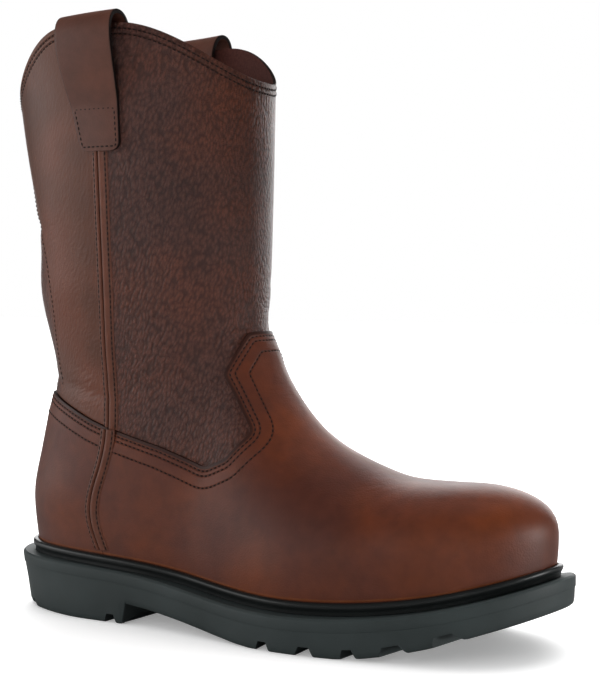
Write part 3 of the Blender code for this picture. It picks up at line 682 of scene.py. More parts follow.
def linear(hex_colour):
    """sRGB hex to linear red, green, blue."""
    values = [int(hex_colour[k:k + 2], 16) / 255 for k in (0, 2, 4)]
    return tuple(v / 12.92 if v <= 0.04045 else ((v + 0.055) / 1.055)**2.4 for v in values)


def add(tree, kind, inputs=None, **settings):
    """Adds a node: settings are its own, inputs are values or the sockets that feed it."""
    node = tree.nodes.new(kind)
    for name, value in settings.items():
        setattr(node, name, value)
    for key, value in (inputs or {}).items():
        if isinstance(value, bpy.types.NodeSocket):
            tree.links.new(value, node.inputs[key])
        else:
            node.inputs[key].default_value = value
    return node


def new_finish(name):
    """Material with its node tree, shader and place in the model's frame."""
    material = bpy.data.materials.new(name)
    material.use_nodes = True
    tree = material.node_tree
    shader = tree.nodes["Principled BSDF"]
    place = add(tree, "ShaderNodeTexCoord").outputs["Object"]
    return material, tree, shader, place


def colour_setting(name, description, hex_colour):
    """Colour that the sidebar shows, from its sRGB hex value."""
    return bpy.props.FloatVectorProperty(name=name, description=description, subtype="COLOR",
                                         default=linear(hex_colour))


class BootColours(bpy.types.PropertyGroup):
    """Colours of the boot's leathers, rubbers and thread."""
    shaft: colour_setting("Shaft", "Pebbled leather of the shaft", "58362e")
    shaft_back: colour_setting("Shaft, back", "Smoother leather behind the side seams", "57301f")
    # Colour of rubbed places, and also of painted sheen, as along the shaft's front edge
    shaft_rubbed_and_lit: colour_setting("Shaft, rubbed", "Rubbed places of the shaft", "6e3925")
    foot: colour_setting("Foot", "Smooth leather of vamp and counter", "5a2d20")
    # Colour of polished places, and also of painted light, as at the toe tip and low on the counter
    foot_polished_and_lit: colour_setting("Foot, polished", "Polished places of the foot", "763715")
    # Painted bounce light: the pale band on the leather just above the welt
    feather: colour_setting("Feather line", "Pale line of leather above the welt", "7c4322")
    strip: colour_setting("Strips", "Leather of the side strips", "6c3d2b")
    loop: colour_setting("Pull loops", "Strap leather", "5d3a2f")
    lining: colour_setting("Lining", "Leather inside the shaft", "522e28")
    raw_edge: colour_setting("Cut edges", "Dark dressing of cut edges", "1e1310")
    thread: colour_setting("Thread", "Stitching", "1e110c")
    sole: colour_setting("Outsole", "Moulded rubber", "394141")
    welt: colour_setting("Welt", "Black rubber bead", "171a1a")
    board: colour_setting("Insole", "Cover of the insole board", "5a4233")
    floor: colour_setting("Floor", "Floor of the studio, as the camera sees it", "f2f2f2")
    floor_bounce: colour_setting("Floor, bounced", "Floor as it lights the boot", "a2a2a2")


class BootSizes(bpy.types.PropertyGroup):
    """Sizes of the stitching and the studio."""
    stitch_pitch: bpy.props.FloatProperty(
        name="Stitch pitch", description="From stitch to stitch", default=0.00265, unit="LENGTH")
    stitch_length: bpy.props.FloatProperty(
        name="Stitch length", description="Thread that shows of one stitch", default=0.0017, unit="LENGTH")
    thread_width: bpy.props.FloatProperty(
        name="Thread width", description="Diameter of the thread", default=0.00092, unit="LENGTH")
    room_light: bpy.props.FloatProperty(
        name="Room light", description="Light from the studio's white walls", default=0.12)
    sky_light: bpy.props.FloatProperty(
        name="Sky panel", description="Light of the wide panel overhead", default=2.5)
    camera_place: bpy.props.FloatVectorProperty(
        name="Camera", description="Place of the camera", default=(0.42345, -0.69636, 0.17313), subtype="XYZ")
    camera_aim: bpy.props.FloatVectorProperty(
        name="Aim", description="What the camera looks at", default=(0.01319, 0.0, 0.14557), subtype="XYZ")
    camera_lens: bpy.props.FloatProperty(
        name="Lens", description="Focal length in millimetres on a 36 mm sensor", default=84.63)


def colours():
    return bpy.context.scene.boot_colours


def sizes():
    return bpy.context.scene.boot_sizes


def rgba(colour):
    return (*colour, 1.0)


def mark(tree, name):
    """A mark of the piece's own mesh, in millimetres."""
    return add(tree, "ShaderNodeAttribute", attribute_name=name).outputs["Fac"]


def grooves(tree, distance, rows, half=0.8):
    """1 in the grooves that rows of stitches pull at distances from an edge, 0 beside them."""
    total = 0.0
    for row in rows:
        off = add(tree, "ShaderNodeMath", {0: distance, 1: row}, operation="SUBTRACT")
        near = add(tree, "ShaderNodeMath", {0: off.outputs[0]}, operation="ABSOLUTE")
        fade = add(tree, "ShaderNodeMapRange", {0: near.outputs[0], 1: 0.0, 2: half, 3: 1.0, 4: 0.0},
                   interpolation_type="SMOOTHSTEP")
        total = add(tree, "ShaderNodeMath", {0: total, 1: fade.outputs[0]}, operation="MAXIMUM").outputs[0]
    return total


def wrinkle_lines(tree, place):
    """Height in millimetres of fine creases that run round the boot, where the piece is marked for them."""
    along = add(tree, "ShaderNodeMapping", {"Vector": place, "Scale": (4.0, 4.0, 1.0),
                                            "Rotation": (0.0, math.radians(-18), 0.0)}, vector_type="TEXTURE")
    lines = add(tree, "ShaderNodeTexNoise", {"Vector": along.outputs[0], "Scale": 1000 / 2.0, "Detail": 2.0})
    return add(tree, "ShaderNodeMath", {0: lines.outputs["Fac"], 1: mark(tree, "wrinkle")},
               operation="MULTIPLY").outputs[0]


@lru_cache(maxsize=None)
def pebbled_leather():
    """Tumbled cowhide: glossy pebbles 1 to 2 mm across, drawn out up the shaft, with painted shade in their
    valleys.
    """
    material, tree, shader, place = new_finish("tumbled_cowhide")
    warp = add(tree, "ShaderNodeTexNoise", {"Vector": place, "Scale": 1000 / 9.0, "Detail": 2.0})
    shift = add(tree, "ShaderNodeVectorMath", {0: warp.outputs["Color"], 1: (0.5, 0.5, 0.5)},
                operation="SUBTRACT")
    moved = add(tree, "ShaderNodeVectorMath", {0: shift.outputs[0], 1: (0.003, 0.003, 0.003), 2: place},
                operation="MULTIPLY_ADD")
    drawn = add(tree, "ShaderNodeMapping", {"Vector": moved.outputs[0], "Scale": (1.0, 1.0, 2.2),
                                            "Rotation": (0.0, math.radians(22), 0.0)}, vector_type="TEXTURE")
    pebbles = add(tree, "ShaderNodeTexVoronoi", {"Vector": drawn.outputs[0], "Scale": 1000 / 1.4,
                                                 "Smoothness": 0.3}, feature="SMOOTH_F1")
    fine = add(tree, "ShaderNodeTexVoronoi", {"Vector": moved.outputs[0], "Scale": 1000 / 0.6}, feature="F1")
    folds = add(tree, "ShaderNodeTexNoise", {"Vector": drawn.outputs[0], "Scale": 1000 / 6.0, "Detail": 1.0})
    patches = add(tree, "ShaderNodeTexNoise", {"Vector": place, "Scale": 1000 / 45.0, "Detail": 4.0})
    grain = mark(tree, "grain")
    amount = add(tree, "ShaderNodeMapRange", {0: grain, 3: 0.25, 4: 1.0})
    domes = add(tree, "ShaderNodeMath",
                {0: fine.outputs["Distance"], 1: 0.35, 2: pebbles.outputs["Distance"]},
                operation="MULTIPLY_ADD")
    valleys = add(tree, "ShaderNodeMath", {0: domes.outputs[0], 1: amount.outputs[0]}, operation="MULTIPLY")
    sewn = grooves(tree, mark(tree, "edge_mm"), COLLAR_ROWS)
    height = add(tree, "ShaderNodeMath", {0: valleys.outputs[0], 1: -0.62, 2: wrinkle_lines(tree, place)},
                 operation="MULTIPLY_ADD")
    height = add(tree, "ShaderNodeMath", {0: folds.outputs["Fac"], 1: 0.15, 2: height.outputs[0]},
                 operation="MULTIPLY_ADD")
    height = add(tree, "ShaderNodeMath", {0: sewn, 1: -0.5, 2: height.outputs[0]}, operation="MULTIPLY_ADD")
    relief = add(tree, "ShaderNodeBump", {"Height": height.outputs[0], "Strength": 0.9, "Distance": MM})
    # Warmer spots, partly rubbed leather and partly painted sheen; spots below 0 are partly painted shade
    tint = mark(tree, "tint")
    worn = add(tree, "ShaderNodeMapRange", {0: patches.outputs["Fac"], 1: 0.45, 2: 0.7, 3: 0.0, 4: 0.5})
    spots = add(tree, "ShaderNodeMath", {0: worn.outputs[0], 1: tint}, use_clamp=True)
    hide = add(tree, "ShaderNodeMix", {0: grain, 6: rgba(colours().shaft_back), 7: rgba(colours().shaft)},
               data_type="RGBA")
    tone = add(tree, "ShaderNodeMix",
               {0: spots.outputs[0], 6: hide.outputs[2], 7: rgba(colours().shaft_rubbed_and_lit)}, data_type="RGBA")
    # Spots marked below 0 darken the leather, partly as painted shade
    deep = add(tree, "ShaderNodeMapRange", {0: tint, 1: -1.0, 2: 0.0, 3: 0.4, 4: 1.0})
    # Painted light on the pebbles' tops and painted shade in their valleys
    valley = add(tree, "ShaderNodeMapRange", {0: valleys.outputs[0], 1: 0.3, 2: 0.95, 3: 1.2, 4: 0.46})
    dusk = add(tree, "ShaderNodeMath", {0: deep.outputs[0], 1: valley.outputs[0]}, operation="MULTIPLY")
    # Painted shade in the stitch grooves below the collar
    seam = add(tree, "ShaderNodeMath", {0: sewn, 1: -0.3, 2: 1.0}, operation="MULTIPLY_ADD")
    dusk = add(tree, "ShaderNodeMath", {0: dusk.outputs[0], 1: seam.outputs[0]}, operation="MULTIPLY")
    shade = add(tree, "ShaderNodeMix", {0: 1.0, 6: tone.outputs[2], 7: dusk.outputs[0]}, data_type="RGBA",
                blend_type="MULTIPLY")
    tree.links.new(shade.outputs[2], shader.inputs["Base Color"])
    tree.links.new(relief.outputs[0], shader.inputs["Normal"])
    shine = add(tree, "ShaderNodeMapRange", {0: patches.outputs["Fac"], 1: 0.3, 2: 0.7, 3: 0.48, 4: 0.4})
    tree.links.new(shine.outputs[0], shader.inputs["Roughness"])
    shader.inputs["IOR"].default_value = 1.48
    return material


@lru_cache(maxsize=None)
def smooth_leather(name="waxed_cowhide", plain="foot", warm="foot_polished_and_lit", pore=0.12, rows=None):
    """Waxed full-grain cowhide: tight pores under a soft shine, clouded darker and warmer by polish and by
    painted light and shade.
    """
    material, tree, shader, place = new_finish(name)
    pores = add(tree, "ShaderNodeTexVoronoi", {"Vector": place, "Scale": 1000 / 0.9}, feature="F1")
    clouds = add(tree, "ShaderNodeTexNoise", {"Vector": place, "Scale": 1000 / 38.0, "Detail": 5.0,
                                              "Roughness": 0.55})
    haze = add(tree, "ShaderNodeTexNoise", {"Vector": place, "Scale": 1000 / 7.0, "Detail": 5.0})
    edge = mark(tree, "edge_mm")
    sewn = grooves(tree, edge, EDGE_ROWS if rows is None else rows)
    height = add(tree, "ShaderNodeMath",
                 {0: pores.outputs["Distance"], 1: -pore, 2: wrinkle_lines(tree, place)},
                 operation="MULTIPLY_ADD")
    height = add(tree, "ShaderNodeMath", {0: haze.outputs["Fac"], 1: 0.12, 2: height.outputs[0]},
                 operation="MULTIPLY_ADD")
    height = add(tree, "ShaderNodeMath", {0: sewn, 1: -0.5, 2: height.outputs[0]}, operation="MULTIPLY_ADD")
    relief = add(tree, "ShaderNodeBump", {"Height": height.outputs[0], "Strength": 0.5, "Distance": MM})
    # Warmer spots, partly polish and partly painted light, as at the toe tip and low on the counter; spots
    # below 0 are partly painted shade
    tint = mark(tree, "tint")
    worn = add(tree, "ShaderNodeMapRange", {0: clouds.outputs["Fac"], 1: 0.42, 2: 0.72, 3: 0.0, 4: 0.6})
    spots = add(tree, "ShaderNodeMath", {0: worn.outputs[0], 1: tint}, use_clamp=True)
    tone = add(tree, "ShaderNodeMix", {0: spots.outputs[0], 6: rgba(getattr(colours(), plain)),
                                       7: rgba(getattr(colours(), warm))}, data_type="RGBA")
    # Painted bounce light: a pale band on the leather just above the welt
    line = grooves(tree, mark(tree, "rise_mm"), (FEATHER_LINE,), half=0.9)
    tone = add(tree, "ShaderNodeMix", {0: line, 6: tone.outputs[2], 7: rgba(colours().feather)},
               data_type="RGBA")
    # Spots marked below 0 darken the leather, partly as painted shade
    deep = add(tree, "ShaderNodeMapRange", {0: tint, 1: -1.0, 2: 0.0, 3: 0.4, 4: 1.0})
    cloud = add(tree, "ShaderNodeMapRange", {0: haze.outputs["Fac"], 1: 0.3, 2: 0.7, 3: 0.84, 4: 1.1})
    dusk = add(tree, "ShaderNodeMath", {0: deep.outputs[0], 1: cloud.outputs[0]}, operation="MULTIPLY")
    # Painted shade in the stitch grooves
    seam = add(tree, "ShaderNodeMath", {0: sewn, 1: -0.35, 2: 1.0}, operation="MULTIPLY_ADD")
    dusk = add(tree, "ShaderNodeMath", {0: dusk.outputs[0], 1: seam.outputs[0]}, operation="MULTIPLY")
    rim = add(tree, "ShaderNodeMapRange", {0: edge, 1: 1.3, 2: 2.1, 3: 0.3, 4: 1.0})
    dusk = add(tree, "ShaderNodeMath", {0: dusk.outputs[0], 1: rim.outputs[0]}, operation="MULTIPLY")
    shade = add(tree, "ShaderNodeMix", {0: 1.0, 6: tone.outputs[2], 7: dusk.outputs[0]}, data_type="RGBA",
                blend_type="MULTIPLY")
    tree.links.new(shade.outputs[2], shader.inputs["Base Color"])
    tree.links.new(relief.outputs[0], shader.inputs["Normal"])
    shine = add(tree, "ShaderNodeMapRange", {0: clouds.outputs["Fac"], 1: 0.3, 2: 0.7, 3: 0.54, 4: 0.44})
    tree.links.new(shine.outputs[0], shader.inputs["Roughness"])
    shader.inputs["IOR"].default_value = 1.5
    return material


@lru_cache(maxsize=None)
def plain_leather(name, colour, roughness):
    """Leather that shows little: a lining or a cut edge, with fibres that break up its colour."""
    material, tree, shader, place = new_finish(name)
    fibres = add(tree, "ShaderNodeTexNoise", {"Vector": place, "Scale": 1000 / 1.2, "Detail": 3.0})
    dusk = add(tree, "ShaderNodeMapRange", {0: fibres.outputs["Fac"], 1: 0.3, 2: 0.7, 3: 0.7, 4: 1.15})
    shade = add(tree, "ShaderNodeMix", {0: 1.0, 6: rgba(getattr(colours(), colour)), 7: dusk.outputs[0]},
                data_type="RGBA", blend_type="MULTIPLY")
    relief = add(tree, "ShaderNodeBump", {"Height": fibres.outputs["Fac"], "Strength": 0.4,
                                          "Distance": 0.4 * MM})
    tree.links.new(shade.outputs[2], shader.inputs["Base Color"])
    tree.links.new(relief.outputs[0], shader.inputs["Normal"])
    shader.inputs["Roughness"].default_value = roughness
    shader.inputs["Specular IOR Level"].default_value = 0.3
    return material


@lru_cache(maxsize=None)
def moulded_rubber(name, colour, roughness, speckle):
    """Moulded rubber: an even charcoal or black, clouded a little, with the mould's fine texture."""
    material, tree, shader, place = new_finish(name)
    grit = add(tree, "ShaderNodeTexNoise", {"Vector": place, "Scale": 1000 / 0.8, "Detail": 2.0})
    bloom = add(tree, "ShaderNodeTexNoise", {"Vector": place, "Scale": 1000 / 25.0, "Detail": 4.0})
    dusk = add(tree, "ShaderNodeMapRange", {0: bloom.outputs["Fac"], 1: 0.3, 2: 0.7, 3: 0.85, 4: 1.15})
    shade = add(tree, "ShaderNodeMix", {0: 1.0, 6: rgba(getattr(colours(), colour)), 7: dusk.outputs[0]},
                data_type="RGBA", blend_type="MULTIPLY")
    relief = add(tree, "ShaderNodeBump", {"Height": grit.outputs["Fac"], "Strength": speckle,
                                          "Distance": 0.3 * MM})
    tree.links.new(shade.outputs[2], shader.inputs["Base Color"])
    tree.links.new(relief.outputs[0], shader.inputs["Normal"])
    shader.inputs["Roughness"].default_value = roughness
    return material


@lru_cache(maxsize=None)
def waxed_thread():
    """Waxed nylon thread: near black, with a slight gloss."""
    material, tree, shader, place = new_finish("waxed_nylon_thread")
    strands = add(tree, "ShaderNodeTexNoise", {"Vector": place, "Scale": 1000 / 0.5})
    shine = add(tree, "ShaderNodeMapRange", {0: strands.outputs["Fac"], 3: 0.6, 4: 0.85})
    tree.links.new(shine.outputs[0], shader.inputs["Roughness"])
    shader.inputs["Base Color"].default_value = rgba(colours().thread)
    return material


# Warmer places, partly polish and partly painted light and sheen, or darker ones (below 0), partly painted
# shade: along, height, side, radius, strength
POLISH_AND_PAINTED_LIGHT = [
    (117, 176, -1, 16, 0.25), (133, 284, -1, 16, 0.4), (142, 262, 0, 12, 0.3), (131, 241, -1, 14, 0.2),
    (130, 161, -1, 15, 0.2), (147, 180, 0, 12, 0.4), (147, 210, 0, 12, 0.4), (147, 240, 0, 12, 0.4),
    (147, 268, 0, 12, 0.4), (106, 213, -1, 30, -0.1), (126, 225, -1, 22, -0.22), (112, 262, -1, 18, -0.1),
    (69, 240, 0, 10, -0.3), (69, 215, 0, 10, -0.3), (69, 190, 0, 10, -0.3), (69, 165, 0, 10, -0.3),
    (69, 140, 0, 10, -0.25), (44, 246, 0, 14, 0.3), (44, 200, 0, 16, 0.4), (46, 177, 0, 16, 0.5),
    (46, 155, 0, 14, 0.4), (30, 262, 0, 22, -0.35),
    (262, 50, -1, 24, 0.55), (240, 45, -1, 18, 0.2), (288, 60, 0, 16, 0.45), (195, 68, -1, 22, -0.22),
    (218, 50, -1, 16, -0.18), (105, 60, -1, 26, 0.22), (105, 44, -1, 12, 0.3), (165, 35, -1, 20, 0.4),
    (165, 100, 0, 16, 0.4), (160, 54, -1, 18, -0.25), (50, 52, 0, 18, 0.4), (60, 94, 0, 12, 0.2),
]
# Places with fine creases: along, height, radius, depth
WRINKLES = [
    (143, 168, 15, 1.0), (122, 108, 16, 0.6), (56, 119, 12, 0.5), (160, 118, 16, 0.5), (222, 80, 15, 0.35),
    (30, 206, 14, 0.7),
]


# Painted light and shade: these spots also brighten lit places and darken shaded ones
def tint(points):
    """How far the leather is warmed at each point, partly by polish and partly as painted light, or darkened
    below 0, partly as painted shade.
    """
    x, y, z = points[..., 0], points[..., 1], points[..., 2]
    total = np.zeros(x.shape)
    for along, height, side, radius, strength in POLISH_AND_PAINTED_LIGHT:
        fall = np.exp(-((x - along)**2 + (z - height)**2) / radius**2)
        total += strength * fall * (smooth_step(-10, 10, side * y) if side else 1.0)
    return total


def wrinkled(points):
    """Depth of the fine creases at each point, in millimetres."""
    total = np.zeros(points.shape[:-1])
    for along, height, radius, depth in WRINKLES:
        total += depth * np.exp(-((points[..., 0] - along)**2 + (points[..., 2] - height)**2) / radius**2)
    return total


# Back strip of the shaft: height, half width
BACK_STRIP = [
    (100, 25.0), (118, 25.0), (133, 24.5), (150, 29.0), (170, 33.0), (190, 32.0), (205, 28.0), (225, 22.0),
    (250, 19.0), (290, 17.0),
]
back_half = natural_spline(BACK_STRIP)


def grain_amount(points):
    """1 on the pebbled front panel and back strip, 0 on the smoother panels between them."""
    x, y, z = points[..., 0], points[..., 1], points[..., 2]
    front = smooth_step(-2, 2, x - seam_along(z))
    behind = np.where(x < 60, smooth_step(-1.5, 1.5, back_half(z) - np.abs(y)), 0)
    return np.clip(front + 0.7 * behind, 0, 1)


class BOOT_OT_upper(bpy.types.Operator):
    """Shaft and foot wall of leather with its lining"""
    bl_idname = "boot.upper"
    bl_label = "Upper"

    def execute(self, context):
        plain = upper_grid()
        grid = dressed(plain, 0.0)
        below_collar = np.abs(np.cumsum(np.linalg.norm(np.diff(plain[::-1], axis=0), axis=-1), 0)[::-1])
        below_collar = np.vstack([below_collar, np.zeros((1, plain.shape[1]))])
        bm = sheet(grid, True, edge_mm=below_collar, grain=grain_amount(plain), tint=tint(plain),
                   wrinkle=wrinkled(plain))
        materials = [pebbled_leather(), plain_leather("lining_leather", "lining", 0.8),
                     plain_leather("dressed_edge", "raw_edge", 0.75)]
        obj = piece("upper_leather", bm, materials, ["upper"], outwards=off_the_boot)
        leather_wall(obj, WALL, inside=1, rim=2)
        return {"FINISHED"}


def overlay_level(edge):
    """Outer face of vamp or counter over the upper: skived thinner toward its top edge."""
    return GAP + OVERLAY - SKIVE * (1 - smooth_step(0, SKIVE_WIDTH, edge))


def panel(name, plain, node):
    """Overlay of smooth leather on the upper, with a dark cut edge."""
    edge = distance_to_line(plain, plain[-1])
    grid = dressed(plain, overlay_level(edge))
    rise = plain[..., 2] - flange_height(plain[..., 0])
    bm = sheet(grid, edge_mm=edge, tint=tint(plain), wrinkle=wrinkled(plain), rise_mm=rise)
    materials = [smooth_leather(), plain_leather("dressed_edge", "raw_edge", 0.75)]
    obj = piece(name, bm, materials, [node], outwards=off_the_boot)
    return leather_wall(obj, OVERLAY, rim=1)


class BOOT_OT_panels(bpy.types.Operator):
    """Vamp over the foot and counter round the heel"""
    bl_idname = "boot.panels"
    bl_label = "Vamp and counter"

    def execute(self, context):
        panel("vamp_leather", vamp_grid(), "vamp")
        panel("counter_leather", counter_grid(), "counter")
        return {"FINISHED"}


# Cross section of a strip, back to front: off the seam, level over what it lies on
STRIP_SECTION = [
    (-4.7, -0.25), (-4.3, 0.1), (-3.9, 0.3), (-3.5, 0.2), (-3.1, 0.45), (-2.6, 0.85), (-2.1, 0.9),
    (-1.6, 0.55), (-1.25, 0.0), (-1.0, -0.35), (-0.75, 0.0), (-0.4, 0.6), (0.2, 1.05), (1.0, 1.25),
    (1.8, 1.1), (2.5, 0.75), (3.1, 0.4), (3.5, 0.2), (3.9, 0.3), (4.3, 0.1), (4.7, -0.25),
]


def strip_piece(name, side, low, high, level, node, length=90):
    """Folded strip up a side seam: two raised rolls with a crease between them, darkened as painted shade."""
    across, lift = (np.tile(column, (length, 1)) for column in zip(*STRIP_SECTION))
    z = np.tile(np.linspace(low, high, length)[:, None], len(STRIP_SECTION))
    plain = seam_line(side, z.ravel(), across.ravel())
    grid = dressed(plain, level + lift.ravel()).reshape(*z.shape, 3)
    bm = sheet(grid, across_mm=across)
    obj = piece(name, bm, [strip_leather()], [node], outwards=off_the_boot, sharp=80)
    return leather_wall(obj, STRIP_FOLD, edge=0.15)


@lru_cache(maxsize=None)
def strip_leather():
    """Folded strip of waxed cowhide: rolls in the strip's own colour, painted shade in the crease and at the
    stitching.
    """
    material, tree, shader, place = new_finish("folded_strip_leather")
    pores = add(tree, "ShaderNodeTexVoronoi", {"Vector": place, "Scale": 1000 / 0.9}, feature="F1")
    haze = add(tree, "ShaderNodeTexNoise", {"Vector": place, "Scale": 1000 / 6.0, "Detail": 4.0})
    across = mark(tree, "across_mm")
    # Painted shade in the crease between the rolls
    crease = grooves(tree, across, (STRIP_CREASE,), half=0.55)
    crease = add(tree, "ShaderNodeMath", {0: crease, 1: -0.85, 2: 1.0}, operation="MULTIPLY_ADD")
    # Painted shade in the stitch grooves
    sewn = grooves(tree, across, (-STRIP_ROW, STRIP_ROW), half=0.9)
    sewn = add(tree, "ShaderNodeMath", {0: sewn, 1: -0.5, 2: 1.0}, operation="MULTIPLY_ADD")
    both = add(tree, "ShaderNodeMath", {0: crease.outputs[0], 1: sewn.outputs[0]}, operation="MULTIPLY")
    dusk = add(tree, "ShaderNodeMapRange", {0: haze.outputs["Fac"], 1: 0.3, 2: 0.7, 3: 0.85, 4: 1.1})
    tone = add(tree, "ShaderNodeMath", {0: both.outputs[0], 1: dusk.outputs[0]}, operation="MULTIPLY")
    shade = add(tree, "ShaderNodeMix", {0: 1.0, 6: rgba(colours().strip), 7: tone.outputs[0]},
                data_type="RGBA", blend_type="MULTIPLY")
    relief = add(tree, "ShaderNodeBump", {"Height": pores.outputs["Distance"], "Strength": 0.15,
                                          "Distance": 0.4 * MM}, invert=True)
    tree.links.new(shade.outputs[2], shader.inputs["Base Color"])
    tree.links.new(relief.outputs[0], shader.inputs["Normal"])
    shader.inputs["Roughness"].default_value = 0.45
    return material


class BOOT_OT_strips(bpy.types.Operator):
    """Strips up the side seams of foot and shaft"""
    bl_idname = "boot.strips"
    bl_label = "Side strips"

    def execute(self, context):
        for side in SIDES:
            strip_piece("side_stay_roll_" + side, side, SEAM_TOP - 1.0, LOOP[0][0] + 2.0, GAP,
                        "side_stay_" + side)
            strip_piece("joint_strip_roll_" + side, side, STRIP_FOOT, SEAM_TOP - 0.5, GAP + OVERLAY + GAP,
                        "joint_strip_" + side, length=60)
        return {"FINISHED"}


def loop_grid(side, rows=120, columns=21, corner=4.5):
    """Outer face of a pull loop's strap, patch to inside end."""
    sign = SIDES[side]
    place = np.linspace(0, len(LOOP) - 1, rows)
    table = [(k, *row) for k, row in enumerate(LOOP)]
    height, off, half = (natural_spline(table, column)(place) for column in (1, 2, 3))
    run = lengths_along(np.column_stack([height, off]))
    for ends in (run, run[-1] - run):
        short = np.clip(corner - ends, 0, corner)
        half = half - (corner - np.sqrt(np.maximum(corner**2 - short**2, 0)))
    across = half[:, None] * np.linspace(-1, 1, columns)
    free = np.interp(height, LOOP_FREE, (0, 1))[:, None]
    top = height[:, None] + free * (LOOP_RISE[side] + LOOP_TILT * across)
    level = np.minimum(top, COLLAR_PEAK)
    middle = LOOP_ALONG[side] + np.interp(height, (LOOP[0][0], LOOP_FREE[0]), (PATCH_LEAN, 0))[:, None]
    face = settle(np.stack([middle + across, sign * 50.0 + 0 * across, level], -1), 0.0, (0, 1, 0), steps=20)
    face = face - crease_depth(face)[..., None] * way_out(face)
    face[..., 1] += sign * (off[:, None] + GAP)
    face[..., 2] += top - level
    return face, half


class BOOT_OT_pull_loops(bpy.types.Operator):
    """Pull loops of strap leather at both sides of the collar"""
    bl_idname = "boot.pull_loops"
    bl_label = "Pull loops"

    def execute(self, context):
        for side, sign in SIDES.items():
            face, half = loop_grid(side)
            zero = np.zeros(face.shape[:2])
            edge = half[:, None] * (1 - np.abs(np.linspace(-1, 1, face.shape[1])))
            # These marks keep a dark rim at the very edge only, and the painted bounce-light line above the
            # welt off the strap
            bm = sheet(face, edge_mm=edge + 1.4, tint=zero, wrinkle=zero + 0.08, rise_mm=zero + 99)
            materials = [smooth_leather("strap_cowhide", "loop", "strip", 0.2, ()),
                         plain_leather("dressed_edge", "raw_edge", 0.75)]
            obj = piece("pull_loop_strap_" + side, bm, materials, ["pull_loop_" + side],
                        outwards=lambda spot, sign=sign: (0, sign, 0))
            leather_wall(obj, LOOP_LEATHER, rim=1)
            obj.modifiers["Leather"].offset = 1
        return {"FINISHED"}


def paired_stations(inset, stations):
    """Lateral and medial plan points at stations along the boot, set in from the outsole's edge."""
    half = len(EDGE) // 2
    result = []
    for rows in (np.arange(0, half + 1), np.arange(len(EDGE) - 1, half - 1, -1)):
        index = np.interp(stations, EDGE[rows, 0], np.arange(len(rows)))
        edge, out = (np.column_stack([np.interp(index, np.arange(len(rows)), plan[rows, k]) for k in (0, 1)])
                     for plan in (EDGE, EDGE_OUT))
        result.append(edge - np.reshape(inset, (-1, 1)) * out)
    return result


HEEL_TAPER = 4.2                    # how far the heel's wall draws in toward the floor
HEEL_TAPER_SPAN = (18.0, 62.0)      # along, where that fades out
# Side of the outsole: inset from its edge, what its height counts from, height, share of the heel's taper
OUTSOLE_SIDE = [
    (12.0, "flange", 0.0, 0.0), (1.7, "flange", 0.0, 0.0), (1.2, "flange", -0.08, 0.0),
    (0.4, "flange", -0.8, 0.0), (0.12, "flange", -1.15, 0.01), (0.0, "flange", -1.7, 0.02),
    (0.0, "flange", -6.0, 0.14), (0.06, "flange", -6.25, 0.15), (0.3, "flange", -6.4, 0.16),
    (0.4, "middle", 0.0, 0.5), (0.6, "tread", 3.0, 0.85), (0.85, "tread", 1.2, 0.96),
    (1.3, "tread", 0.4, 1.0), (2.1, "tread", 0.0, 1.0), (16.0, "tread", 0.0, 1.0),
]


def outsole_rings(stations):
    """Cross sections of the outsole, heel to toe; the heel's wall draws in toward the floor."""
    taper = HEEL_TAPER * (1 - smooth_step(*HEEL_TAPER_SPAN, stations))
    sides = []
    for inset, base, shift, share in OUTSOLE_SIDE:
        spots = []
        for plan in paired_stations(inset + share * taper, stations):
            flange, tread = flange_height(plan[:, 0]), tread_height(plan[:, 0])
            height = {"flange": flange, "tread": tread, "middle": (flange + tread) / 2}[base] + shift
            spots.append(np.column_stack([plan, height]))
        sides.append(spots)
    lateral = np.stack([spots[0] for spots in sides], 1)
    medial = np.stack([spots[1] for spots in sides], 1)
    return np.concatenate([lateral, medial[:, ::-1]], 1)


def sole_stations(count=170):
    """Stations along the sole, close together at both ends and at the heel's breast."""
    turn = np.linspace(0.02, math.pi - 0.02, count)
    even = SOLE_LENGTH / 2 * (1 - np.cos(turn))
    breast = [row[0] for row in TREAD if 80 < row[0] < 95]
    return np.array(sorted([x for x in even if min(abs(x - b) for b in breast) > 1.0] + breast))


def cutter(name, bm):
    """Object that cuts the tread, from a mesh in millimetres."""
    bmesh.ops.recalc_face_normals(bm, faces=bm.faces)
    for vert in bm.verts:
        vert.co = placed(vert.co)
    return linked(name, mesh_from(name, bm))


def tapered_bar(bm, width, length, height, taper, spot, slope, turn=0.0):
    """Adds a bar across the tread, narrower at its top, laid to the slope of the tread's face."""
    bar = bmesh.ops.create_cube(bm, size=1)["verts"]
    for vert in bar:
        narrow = taper if vert.co.z > 0 else 1.0
        vert.co = Vector((vert.co.x * width * narrow, vert.co.y * length, vert.co.z * height))
    turned = Matrix.Rotation(-slope, 4, "Y") @ Matrix.Rotation(math.radians(turn), 4, "Z")
    bmesh.ops.transform(bm, matrix=Matrix.Translation(spot) @ turned, verts=bar)


